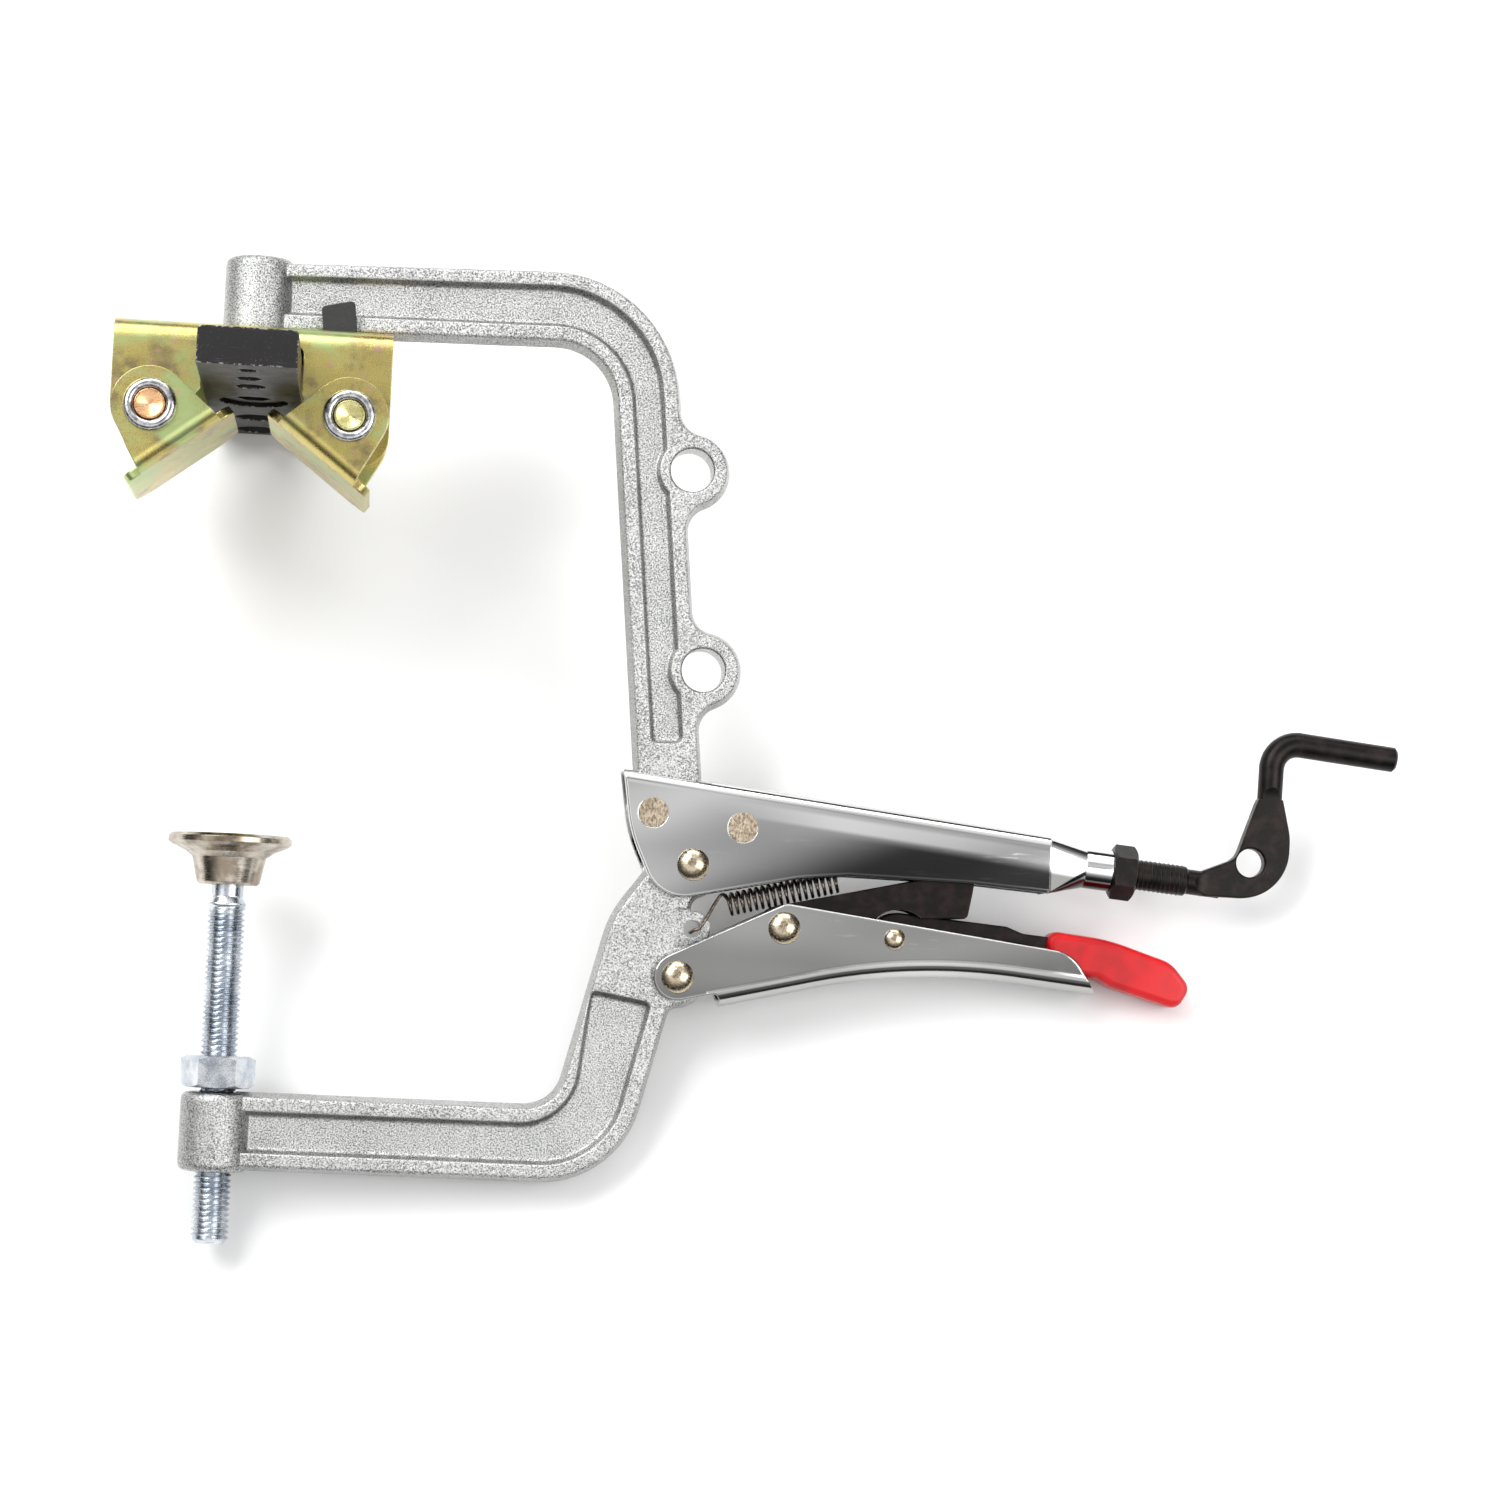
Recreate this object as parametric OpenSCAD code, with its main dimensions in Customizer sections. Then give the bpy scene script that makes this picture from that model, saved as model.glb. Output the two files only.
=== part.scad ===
/* [Drill bar] */
// Length of the drill bar, front to back
bar_l = 127; // [120:1:140]
// Width of the drill bar
bar_w = 25.4; // [24:0.1:27]
// Thickness of the drill bar
bar_t = 9.6; // [9:0.1:11]
// Distance of the outermost guide holes from the bar's ends
guide_margin = 9; // [8:0.5:10]
// Diameter of the first guide hole, nearest the front
guide_1_d = 4.8; // [3:0.1:6]
// Diameter of the second guide hole
guide_2_d = 6.4; // [5:0.1:7]
// Diameter of the third guide hole
guide_3_d = 8; // [7:0.1:9]
// Diameter of the fourth guide hole
guide_4_d = 11.9; // [10:0.1:13]
// Diameter of the last guide hole
guide_5_d = 12.7; // [11:0.1:14]
// Recess of the screw head below the bar's underside
head_recess = 1; // [0.5:0.1:1.5]
// Thickness of the locator under the saddle
locator_t = 5; // [4:0.1:6]

/* [Saddle and V pads] */
// Half length of the saddle along the arm
saddle_half = 36.4; // [35:0.1:40]
// Width of the saddle over its flanges
saddle_w = 45; // [42:0.5:48]
// Sheet thickness of the saddle
saddle_sheet = 3; // [2.5:0.1:3.5]
// Outer bend radius of the saddle
saddle_bend = 5.5; // [4:0.1:6]
// Distance of the pad pins from the clamp axis
pin_x = 25.9; // [25:0.1:28]
// Depth of the pad pins below the bar's underside
pin_drop = 5.8; // [4:0.1:7]
// Diameter of the pad pins
pin_d = 8; // [6:0.1:9]
// Length of a V pad along its sloping base
pad_l = 25.4; // [22:0.1:27]
// Height from the pad's contact face to its pin
pad_h = 13.2; // [12.5:0.1:15]
// Sheet thickness of the V pads
pad_sheet = 2.5; // [2:0.1:3]
// Slope of the V pads at rest
pad_slope = 37.4; // [20:0.1:42]
// Length of the tabs at the pad's ends
pad_tab = 4; // [2:0.1:5]
// Outer radius of a pad's ears
pad_ear_r = 10.2; // [9:0.1:11]
// Outer diameter of the pin rings
ring_d = 14; // [12:0.1:15]

/* [Arms] */
// Thickness of both forged arms
arm_t = 12; // [10:0.1:14]
// Depth of the arms' side pockets
pocket_depth = 2.9; // [1.5:0.1:3.5]
// Width of the raised rims beside the pockets, outline to pocket
rim_w = 4.7; // [4:0.1:6]
// Lean of the forged side walls over half the thickness
draft = 1.2; // [0.5:0.1:1.5]
// Lean of the pocket walls for each unit of depth
pocket_lean = 0.3; // [0.1:0.05:0.4]
// Radius on the forged edges
edge_r = 0.9; // [0.5:0.1:1.2]
// Height of the upper arm beside its boss
arm_h = 20; // [18:0.5:22]
// Radius of the upper arm's boss
boss_r = 9.3; // [8.5:0.1:11]
// Height of the lower arm's boss
jaw_boss_h = 20.8; // [18:0.1:24]
// Distance from the clamp axis to the arm's outer corner
arm_reach = 111; // [108:0.5:115]
// Outer bend radius of the upper arm
arm_bend_r = 35.5; // [30:0.5:38]
// Inner bend radius of the upper arm
arm_throat_r = 16; // [12:0.5:18]
// Width of the upright part of the upper arm
upright_w = 18.4; // [17:0.1:20]
// Hole diameter of the side lugs
lug_hole_d = 11.7; // [10:0.1:12.5]
// Outer radius of the side lugs
lug_r = 10.6; // [10:0.1:11.5]
// Distance between the side lugs
lug_pitch = 54; // [46:0.5:58]
// Outer bend radius of the lower arm
jaw_bend_r = 27; // [22:0.5:30]
// Inner bend radius of the lower arm
jaw_throat_r = 10.2; // [8:0.2:12]

/* [Grip] */
// Distance of the jaw pivot beyond the outer corner of the arm
pivot_out = 12; // [11:0.5:14]
// Depth of the jaw pivot below the bar's underside
pivot_drop = 118.2; // [116:0.2:122]
// Depth of the lower arm's top below the bar's underside
jaw_drop = 183.8; // [180:0.5:190]
// Sheet thickness of both handles
sheet = 1.8; // [1.5:0.1:2]
// Gap between the arm and the handles' sides
handle_gap = 0.05; // [0.02:0.01:0.2]
// Diameter of the pivot rivets' shanks
rivet_d = 6; // [5:0.1:6.5]
// Diameter of the flush rivets through the upper arm's foot
flush_d = 8; // [7:0.1:8.5]
// Radius of the domed rivet heads
dome_r = 4.35; // [4:0.05:4.6]
// Height of the domed rivet heads
dome_h = 1.9; // [1.4:0.1:2.2]
// Radial clearance of the moving fits
fit = 0.05; // [0.03:0.01:0.09]
// Diameter of the adjusting screw's thread
screw_d = 8; // [7.5:0.1:8.5]
// Diameter of the adjusting screw's bent rod
rod_d = 6.8; // [6:0.1:7.4]
// Wall of the handle's rear neck around the screw
neck_wall = 1.6; // [1.4:0.1:2]
// Width across the flats of the adjusting screw's nut
lock_nut_af = 13; // [12.5:0.1:14]
// Outer diameter of the tension spring
spring_d = 6.4; // [5.5:0.1:6.6]
// Wire diameter of the tension spring
wire_d = 0.9; // [0.7:0.05:1]

/* [Spindle] */
// Diameter of the clamping spindle
spindle_d = 10; // [9:0.1:11]
// Depth of the spindle's lower end below the bar's underside
spindle_drop = 224; // [216:0.5:232]
// Depth of the swivel pad's face below the bar's underside
face_drop = 116; // [110:0.5:120]
// Radius of the swivel pad
swivel_r = 16.3; // [14:0.1:18]
// Radius of the spindle's ball end
ball_r = 5.3; // [5:0.05:5.6]
// Width across the flats of the spindle nut
spindle_nut_af = 17; // [16:0.1:18]
// Thickness of the spindle nut
spindle_nut_t = 8.4; // [7:0.1:9]

/* [Hidden] */
$fn = 72;
tiny = 0.01;
near = 0.02;
hair = 0.01;
skin = 0.6;
cut_w = 3;
over = 1.3;
forged_steps = 3;
half = arm_t / 2;
handle_in = half + handle_gap;
handle_half = handle_in + sheet;
steel = [0.72, 0.73, 0.75];
chrome = [0.8, 0.81, 0.83];
nickel = [0.78, 0.74, 0.68];
zinc = [0.66, 0.7, 0.76];
gold = [0.78, 0.7, 0.38];
black = [0.09, 0.09, 0.1];

// Plane vectors
function unit(v) = v / norm(v);
function heading(v) = atan2(v[1], v[0]);
function left_of(v) = [-v[1], v[0]];
function polar(r, a) = [r * cos(a), r * sin(a)];
function turn_by(v, a) = [v[0] * cos(a) - v[1] * sin(a), v[0] * sin(a) + v[1] * cos(a)];
function crossing(p, d, q, e) =
    let (k = ((q[0] - p[0]) * e[1] - (q[1] - p[1]) * e[0]) / (d[0] * e[1] - d[1] * e[0])) p + k * d;

// An outline is a list of corners [x, y, radius], anticlockwise. A corner [x, y, radius, a, b]
// is a disc at x, y that the outline goes round from heading a to heading b.
function is_disc(k) = len(k) > 3;
function entry(k) = is_disc(k) ? [k[0], k[1]] + polar(k[2], k[3] - 90) : [k[0], k[1]];
function exit(k) = is_disc(k) ? [k[0], k[1]] + polar(k[2], k[4] - 90) : [k[0], k[1]];
function before(c, i) = exit(c[(i + len(c) - 1) % len(c)]);
function after(c, i) = entry(c[(i + 1) % len(c)]);

// A bend holds the tangent points, the centre, the radius and the turn in degrees (positive to
// the left) of one corner
function bend(c, i) = is_disc(c[i])
    ? [entry(c[i]), exit(c[i]), [c[i][0], c[i][1]], c[i][2], c[i][4] - c[i][3]]
    : let (b = c[i], p = [b[0], b[1]], d0 = unit(p - before(c, i)), d1 = unit(after(c, i) - p),
           side = d0[0] * d1[1] - d0[1] * d1[0] >= 0 ? 1 : -1,
           turn = acos(max(-1, min(1, d0 * d1))), t = b[2] * tan(turn / 2))
      [p - d0 * t, p + d1 * t, p - d0 * t + left_of(d0) * b[2] * side, b[2], side * turn];

// The outline moved outward by s
function grown(c, s) =
    [for (i = [0:len(c) - 1]) is_disc(c[i])
        ? [c[i][0], c[i][1], c[i][2] + s, c[i][3], c[i][4]]
        : let (p = [c[i][0], c[i][1]], d0 = unit(p - before(c, i)), d1 = unit(after(c, i) - p),
               side = d0[0] * d1[1] - d0[1] * d1[0] >= 0 ? 1 : -1,
               m = -(left_of(d0) + left_of(d1)) / (1 + d0 * d1), q = p + m * s)
          [q[0], q[1], c[i][2] == 0 ? 0 : max(0.1, c[i][2] + s * side)]];

// Points along the outline, with the bends as short chords
function traced(c) =
    [for (i = [0:len(c) - 1])
        let (b = bend(c, i), n = b[3] == 0 ? 0 : max(2, ceil(abs(b[4]) / 6 - tiny)),
             met = norm(bend(c, (i + 1) % len(c))[0] - b[1]) < near)
            for (k = [0:n - (met ? 1 : 0)]) n == 0 ? b[0] : b[2] + turn_by(b[0] - b[2], b[4] * k / n)];

function disc(c, r, a, b) = [c[0], c[1], r, a, b];
// Headings at which the outline leaves a disc toward q, and reaches it coming from q
function leaving(c, r, q) = heading(q - c) + asin(r / norm(q - c));
function reaching(c, r, q) = heading(c - q) - asin(r / norm(q - c));
// The corner where the outline passes from a disc's tangent to another line
function off_disc(c, r, h, q, d, fillet) =
    let (p = crossing(c + polar(r, h - 90), polar(1, h), q, d)) [p[0], p[1], fillet];
// Corners of a disc on an edge, blended into it by a fillet. p is a point of the edge, d its direction.
function lug(c, r, p, d, fillet) =
    let (out = -left_of(d), u = (c - p) * out, e = heading(d), a = acos((fillet - u) / (r + fillet)))
    [off_disc(c, r, e - a, p, d, fillet), disc(c, r, e - a, e + a), off_disc(c, r, e + a, p, d, fillet)];

// What lies outside a wall, as a flat section: x is outward from the outline, y is along the
// thickness. The wall leans in from the middle plane and ends in a round of n facets.
function rounded_wall(h, lean, r, n) =
    let (u = -lean * (h - r) / h,
         arc = [for (i = [0:n]) [u - r * (1 - cos(90 * i / n)), h - r + r * sin(90 * i / n)]],
         past = arc[n] + 0.3 * unit(arc[n] - arc[n - 1]))
    concat(arc, [past, [past[0], h + 2]]);
module outside(wall, w) {
    h = wall[0];
    up = rounded_wall(h, 0, wall[1], wall[1] > 2 ? 9 : 3);
    down = [for (i = [len(up) - 1:-1:0]) [up[i][0], -up[i][1]]];
    polygon(concat(down, up, [[w, h + 2], [w, -h - 2]]));
}

// Takes away what lies outside one straight stretch of wall, with the material on the left
module straight_cut(p, q, wall, before = 0, after = 0) {
    translate(p) rotate(heading(q - p)) translate([-before, 0, 0]) rotate([90, 0, 90])
        linear_extrude(norm(q - p) + before + after) mirror([1, 0]) outside(wall, cut_w);
}

// Takes away what lies outside one bend. Bends are a hair larger than drawn, so that their
// walls cross those beside them instead of only touching.
function run_on(r) = 2.2 * sqrt(2 * hair * r);
module bend_cut(b, wall) {
    inward = b[4] < 0;
    from = inward ? b[1] : b[0];
    more = inward ? run_on(b[3]) / b[3] * 180 / PI : 0;
    translate(b[2]) rotate(heading(from - b[2]) - more) rotate_extrude(angle = abs(b[4]) + 2 * more)
        translate([b[3] + hair, 0]) mirror([inward ? 1 : 0, 0])
            outside(wall, inward ? min(cut_w, b[3]) : cut_w);
}
function past_end(b) = b[4] < 0 ? 0 : b[3] == 0 ? cut_w : run_on(b[3]);

// A plate between z0 and z1 with the given outline and wall. The stretches that end at the
// corners listed in spine get the other wall.
module shaped(c, z0, z1, wall, spine = [], spine_wall = []) {
    n = len(c);
    bends = [for (i = [0:n - 1]) bend(c, i)];
    walls = [for (i = [0:n - 1]) len([for (k = spine) if (k == i) k]) > 0 ? spine_wall : wall];
    difference() {
        translate([0, 0, z0]) linear_extrude(z1 - z0) polygon(traced(grown(c, skin)));
        for (i = [0:n - 1]) {
            a = bends[(i + n - 1) % n];
            b = bends[i];
            if (norm(b[0] - a[1]) > near)
                straight_cut(a[1], b[0], walls[i], past_end(a), past_end(b));
            if (b[3] > 0) bend_cut(b, walls[i]);
        }
    }
}
module plate(c, h, r) { shaped(c, -h, h, [h, r]); }

// A wall section of [outward, height] points carried round an outline and closed on its outer
// side, so that it takes away what lies outside the wall
module carried(c, wall) {
    section = concat(wall, [[2 * skin, wall[len(wall) - 1][1]], [2 * skin, wall[0][1]]]);
    m = len(section);
    n = len(traced(c));
    polyhedron([for (s = section) for (p = traced(grown(c, s[0]))) [p[0], p[1], s[1]]],
        [for (j = [0:m - 1]) for (i = [0:n - 1])
            [j * n + i, j * n + (i + 1) % n, (j + 1) % m * n + (i + 1) % n, (j + 1) % m * n + i]]);
}
module walled(c, z0, z1, wall) {
    difference() {
        translate([0, 0, z0]) linear_extrude(z1 - z0) polygon(traced(grown(c, skin)));
        carried(c, wall);
    }
}

// The section that leaves the pocket, from its floor up past the rim
function pocket_wall() =
    let (low = half - pocket_depth, lean = pocket_depth * pocket_lean)
    [[-lean - 1.4, low - 0.3], [-lean - 0.3, low + 0.25], [-lean, low + 0.8],
        [lean * over / pocket_depth, half + over]];

// A forging leans in from its middle plane to rounded edges
function forged_wall() =
    let (up = rounded_wall(half, draft, edge_r, forged_steps), n = forged_steps, top = up[n + 1],
         side = concat([for (k = [0:n - 1]) up[k]], [top]))
    concat([for (k = [n:-1:0]) [side[k][0], -side[k][1]]], [[0, 0]], side);
module forging(c) { walled(c, -half, half, forged_wall()); }

// The pocket's own solid, taken from one face of a forging
module pocket(c) { walled(grown(c, -rim_w), half - pocket_depth, half + 1, pocket_wall()); }

// A cylinder along the clamp axis
module post(y0, y1, r) { translate([0, y0, 0]) rotate([-90, 0, 0]) cylinder(h = y1 - y0, r = r); }

// The height of the stack on the clamp axis
web_y = bar_t + locator_t;
saddle_y = web_y + saddle_sheet;
boss_h = arm_h + 0.8;
head_screw_d = 10;

// Upper arm
arm_slope = 1.3;
arm_taper = 0.6;
arm_bottom = saddle_y + 0.3;
upright_lean = 5.77;
arm_dir = [cos(arm_slope), sin(arm_slope)];
arm_back = [-cos(arm_slope + arm_taper), -sin(arm_slope + arm_taper)];
up_dir = [-sin(upright_lean), cos(upright_lean)];
up_out = [cos(upright_lean), sin(upright_lean)];
arm_in = 5.5;
arm_root = [arm_in, arm_bottom];
arm_top = [arm_in, arm_bottom + arm_h];
outer_corner = arm_top + (-arm_back) * (arm_reach - arm_in) / cos(arm_slope + arm_taper);
inner_corner = crossing(arm_root, arm_dir, outer_corner - up_out * upright_w, up_dir);
head_r = 9;
pivot = [arm_reach + pivot_out, -pivot_drop];
rivet_left = pivot + [-11.3, 13.4];
rivet_right = pivot + [12.9, 10.5];
lobe_r = 6.4;
foot_line = pivot + [0, head_r + 0.8];
function on_left(y) = crossing(inner_corner, up_dir, [0, y], [1, 0]);
function on_right(y) = crossing(outer_corner, up_dir, [0, y], [1, 0]);
heel_top = pivot[1] + 19;
lobe_fillet = 10;
lobe_in = heading(-up_dir) + 360 - acos((lobe_fillet + (rivet_left - on_left(0)) * up_out)
    / (lobe_r + lobe_fillet));
lug_out = 1.6;
lug_fillet = 6.3;
lug_low_y = pivot[1] + 52.1;
lug_low = on_right(lug_low_y) + up_out * lug_out;
lug_high = lug_low + up_dir * lug_pitch;
arm_outline = concat([
    [arm_root[0], arm_root[1], 0],
    [inner_corner[0], inner_corner[1], arm_throat_r],
    off_disc(rivet_left, lobe_r, lobe_in, on_left(0), up_dir, lobe_fillet),
    disc(rivet_left, lobe_r, lobe_in, 390),
    off_disc(rivet_left, lobe_r, 30, foot_line, [1, 0], 4),
    off_disc(rivet_right, lobe_r, -50, foot_line, [1, 0], 4),
    disc(rivet_right, lobe_r, -50, 90),
    [rivet_right[0] + lobe_r, heel_top - 0.8, 3],
    [on_right(heel_top)[0], heel_top, 3]],
    lug(lug_low, lug_r, outer_corner, up_dir, lug_fillet),
    lug(lug_high, lug_r, outer_corner, up_dir, lug_fillet),
    [[outer_corner[0], outer_corner[1], arm_bend_r],
    [arm_top[0], arm_top[1], 0]]);
pocket_end = pivot[1] + 31.6;
pocket_r = rim_w + 2.2;
pocket_outline = [
    [arm_root[0] - 16, arm_root[1], 0],
    [inner_corner[0], inner_corner[1], arm_throat_r],
    [on_left(pocket_end - rim_w)[0], pocket_end - rim_w, pocket_r],
    [on_right(pocket_end - rim_w)[0], pocket_end - rim_w + 0.7, pocket_r],
    [outer_corner[0], outer_corner[1], arm_bend_r],
    [arm_top[0] - 16, arm_top[1], 0]];

module upper_arm_shape() {
    difference() {
        union() {
            difference() {
                forging(arm_outline);
                for (s = [0, 1]) mirror([0, 0, s]) difference() {
                    pocket(pocket_outline);
                    for (c = [lug_low, lug_high]) translate(c)
                        cylinder(h = arm_t, r1 = lug_r + 2, r2 = lug_r - 2, center = true);
                }
            }
            boss(saddle_y, boss_h, boss_r);
        }
        for (c = [lug_low, lug_high]) chamfered_hole(c, lug_hole_d / 2, half);
        for (c = [rivet_left, rivet_right]) translate(c) cylinder(h = arm_t + 2, d = flush_d, center = true);
        post(saddle_y - 1, saddle_y + 15, head_screw_d / 2);
    }
}

// A boss on the clamp axis with softened ends
module boss(y0, h, r) {
    soft = 2;
    end = [for (k = [0:4]) [r - soft + soft * cos(22.5 * k), soft * sin(22.5 * k)]];
    translate([0, y0, 0]) rotate([-90, 0, 0]) rotate(40) rotate_extrude()
        polygon(concat([[0, 0]], [for (k = [4:-1:0]) [end[k][0], soft - end[k][1]]],
            [for (e = end) [e[0], h - soft + e[1]]], [[0, h]]));
}

// A through hole along the thickness with a small chamfer on both faces
module chamfered_hole(c, r, h) {
    translate(c) {
        cylinder(h = 2 * h + 2, r = r, center = true);
        for (s = [0, 1]) mirror([0, 0, s]) translate([0, 0, h - 0.5]) cylinder(h = 1, r1 = r, r2 = r + 1);
    }
}

// Lower arm
link_pin = pivot + [25.2, -15.8];
handle_pin = pivot + [-2.8, -30.1];
spring_hole = pivot + [0.9, -17.1];
jaw_lean = 13.9;
jaw_up = [sin(jaw_lean), cos(jaw_lean)];
jaw_top = -jaw_drop;
jaw_bottom = jaw_top - jaw_boss_h;
jaw_right_at = handle_pin + [-1.7, -10];
jaw_left_at = pivot + [-22.2, -16.9];
jaw_outer = crossing(jaw_right_at, jaw_up, [0, jaw_bottom], [1, 0]);
jaw_inner = crossing(jaw_left_at, jaw_up, [0, jaw_top], [1, 0]);
shoulder = jaw_left_at + jaw_up * 3;
tail_r = 8.4;
tail_fillet = 3;
waist = [handle_pin + [1.9, 3], unit(pivot - handle_pin)];
tail_edge = heading(jaw_up) - acos((tail_fillet - (handle_pin - jaw_right_at) * -left_of(jaw_up))
    / (tail_r + tail_fillet));
tail_top = 140;
head_low = 24;
jaw_outline = [
    [3, jaw_bottom, 0],
    [jaw_outer[0], jaw_outer[1], jaw_bend_r],
    off_disc(handle_pin, tail_r, tail_edge, jaw_right_at, jaw_up, tail_fillet),
    disc(handle_pin, tail_r, tail_edge, tail_top),
    off_disc(handle_pin, tail_r, tail_top, waist[0], waist[1], tail_fillet),
    off_disc(pivot, head_r, head_low, waist[0], waist[1], tail_fillet),
    disc(pivot, head_r, head_low, leaving(pivot, head_r, shoulder) + 360),
    [shoulder[0], shoulder[1], 30],
    [jaw_inner[0], jaw_inner[1], jaw_throat_r],
    [3, jaw_top, 0]];
step_left = jaw_left_at - jaw_up * 18;
step_right = handle_pin + [-6.2, -8.8];
jaw_pocket = [
    [-6, jaw_bottom, 0],
    [jaw_outer[0], jaw_outer[1], jaw_bend_r],
    [(step_right + jaw_up * rim_w)[0] + rim_w, (step_right + jaw_up * rim_w)[1] + 1, pocket_r],
    [(step_left + jaw_up * rim_w)[0] - rim_w, (step_left + jaw_up * rim_w)[1] + 1, pocket_r],
    [jaw_inner[0], jaw_inner[1], jaw_throat_r],
    [-6, jaw_top, 0]];
ear_r = 4.9;
ear_half = 2.2;

module lower_arm_shape() {
    difference() {
        union() {
            difference() {
                forging(jaw_outline);
                for (s = [0, 1]) mirror([0, 0, s]) pocket(jaw_pocket);
                for (s = [0, 1]) mirror([0, 0, s]) translate([spring_hole[0], spring_hole[1], ear_half])
                    linear_extrude(arm_t) polygon([[-ear_r, -ear_r - 0.4], [2 * ear_r, -ear_r - 0.4],
                        [2 * ear_r, ear_r + 0.4], [-ear_r, ear_r + 0.4]]);
            }
            translate(spring_hole) rotate(20) cylinder(h = 2 * ear_half, r = ear_r, center = true);
            boss(jaw_bottom - 0.4, jaw_boss_h, boss_r + 0.1);
        }
        post(jaw_bottom - 2, jaw_top + 2, spindle_d / 2 + fit);
        translate(spring_hole) cylinder(h = arm_t, r = 2.3, center = true);
        for (c = [pivot, handle_pin]) translate(c)
            cylinder(h = arm_t + 2, r = rivet_d / 2 + fit, center = true);
    }
}

// Upper handle: a channel whose spine is on top, drawn down to a neck at the rear
handle_top = pivot + [-19.8, 25.2];
handle_slope = -6.2;
handle_dir = [cos(handle_slope), sin(handle_slope)];
handle_len = 117.1;
handle_rear = handle_top + handle_dir * handle_len;
handle_depth = 15.8;
handle_bend = 3.6;
slot_end = pivot[0] + 3.6;
screw_slope = -5;
screw_dir = [cos(screw_slope), sin(screw_slope)];
screw_eye = pivot + [117, 3.7];
function on_screw(x) = crossing(screw_eye, screw_dir, [x, 0], [0, 1]);
neck_r = screw_d / 2 + neck_wall;
neck_start = on_screw(handle_rear[0] + 10.4);
neck_end = on_screw(handle_rear[0] + 17.685);
handle_outline = [
    [handle_top[0], handle_top[1], 0],
    [pivot[0] - 17.1, pivot[1] + 7.7, 40],
    [pivot[0] - 8.6, pivot[1] - 10.45, 11],
    [pivot[0] + 29, pivot[1] - 2.4, 40],
    [pivot[0] + 41.7, pivot[1] - 1.1, 20],
    [pivot[0] + 75, pivot[1] - 1.6, 60],
    [handle_rear[0] + 3, handle_rear[1] - handle_depth, 0],
    [handle_rear[0] + 3, handle_rear[1] + 3 * tan(handle_slope), 0]];
inner_outline = [
    [handle_top[0] - 5, handle_top[1] + 5 * tan(-handle_slope) - sheet, 0],
    [pivot[0] - 25, pivot[1] - 25, 0],
    [handle_rear[0] + tiny, pivot[1] - 25, 0],
    [handle_rear[0] + tiny, handle_rear[1] - sheet, 0]];

// A flat slice across the handle's rear, rounded at its top
module rear_slice(x, h, top, bottom, r) {
    translate([x, 0, 0]) rotate([0, 90, 0]) linear_extrude(0.02) union() {
        translate([-h, bottom]) square([2 * h, top - bottom - r]);
        for (s = [-1, 1]) translate([s * (h - r), top - r]) circle(r = r, $fn = 32);
        translate([r - h, bottom]) square([2 * (h - r), top - bottom]);
    }
}
module along_screw(p, r, l) { translate(p) rotate(screw_slope) rotate([0, 90, 0]) cylinder(h = l, r = r); }

module upper_handle_shape() {
    difference() {
        union() {
            difference() {
                shaped(handle_outline, -handle_half, handle_half, [handle_half, 0.8], [0],
                    [handle_half, handle_bend]);
                translate([handle_rear[0] + 0.02, -pivot_drop - 50, -20]) cube([20, 100, 40]);
            }
            hull() {
                rear_slice(handle_rear[0] - 0.8, handle_half - 0.03, handle_rear[1], handle_rear[1]
                    - handle_depth + 0.03, handle_bend);
                along_screw(neck_start, neck_r - 0.05, 0.02);
            }
            along_screw(neck_start - screw_dir * 0.6, neck_r, norm(neck_end - neck_start) + 0.6);
        }
        translate([0, 0, -handle_in]) linear_extrude(2 * handle_in)
            polygon([for (c = inner_outline) [c[0], c[1]]]);
        hull() {
            rear_slice(handle_rear[0] - 1, handle_in - 0.03, handle_rear[1] - sheet - 0.03,
                handle_rear[1] - handle_depth - 6, 2);
            along_screw(neck_start - screw_dir * 1.2, screw_d / 2 - 0.3, 0.02);
        }
        along_screw(neck_start - screw_dir * 4, screw_d / 2 + fit, norm(neck_end - neck_start) + 8);
        translate([handle_top[0] - 5, handle_top[1] - 30, -handle_in])
            cube([slot_end - handle_top[0] + 5, 40, 2 * handle_in]);
        for (c = [rivet_left, rivet_right]) translate(c) cylinder(h = 40, d = flush_d, center = true);
        translate(pivot) cylinder(h = 40, d = rivet_d, center = true);
    }
}

// Lower handle: a channel open toward the upper handle, with a round nose
nose_r = 6.4;
peak = pivot + [25.5, -9.1];
low_bend = 4.8;
low_tip = pivot + [110.5, -29.9];
low_corner = pivot + [9.2, -37.5];
low_crown = pivot + [61, -25.1];
low_heel = low_corner + [-1.2, 3.3];
low_outline = [
    disc(handle_pin, nose_r, reaching(handle_pin, nose_r, peak) + 360,
        leaving(handle_pin, nose_r, low_heel) + 360),
    [low_heel[0], low_heel[1], 1.2],
    [low_corner[0], low_corner[1], 0],
    [low_crown[0], low_crown[1], 170],
    [low_tip[0], low_tip[1], 0],
    [low_tip[0] - 6.8, low_tip[1] + 11, 10],
    [peak[0], peak[1], 4]];
low_inner = [
    [handle_pin[0] - 20, handle_pin[1] - 20, 0],
    [low_corner[0] - 2, handle_pin[1] - 20, 0],
    [low_corner[0] - 2, low_corner[1] + sheet - 0.5, 0],
    [low_crown[0], low_crown[1] + sheet, 170],
    [low_tip[0] + 10, low_tip[1] + sheet - 1, 0],
    [low_tip[0] + 10, peak[1] + 10, 0],
    [handle_pin[0] - 20, peak[1] + 10, 0]];

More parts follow.
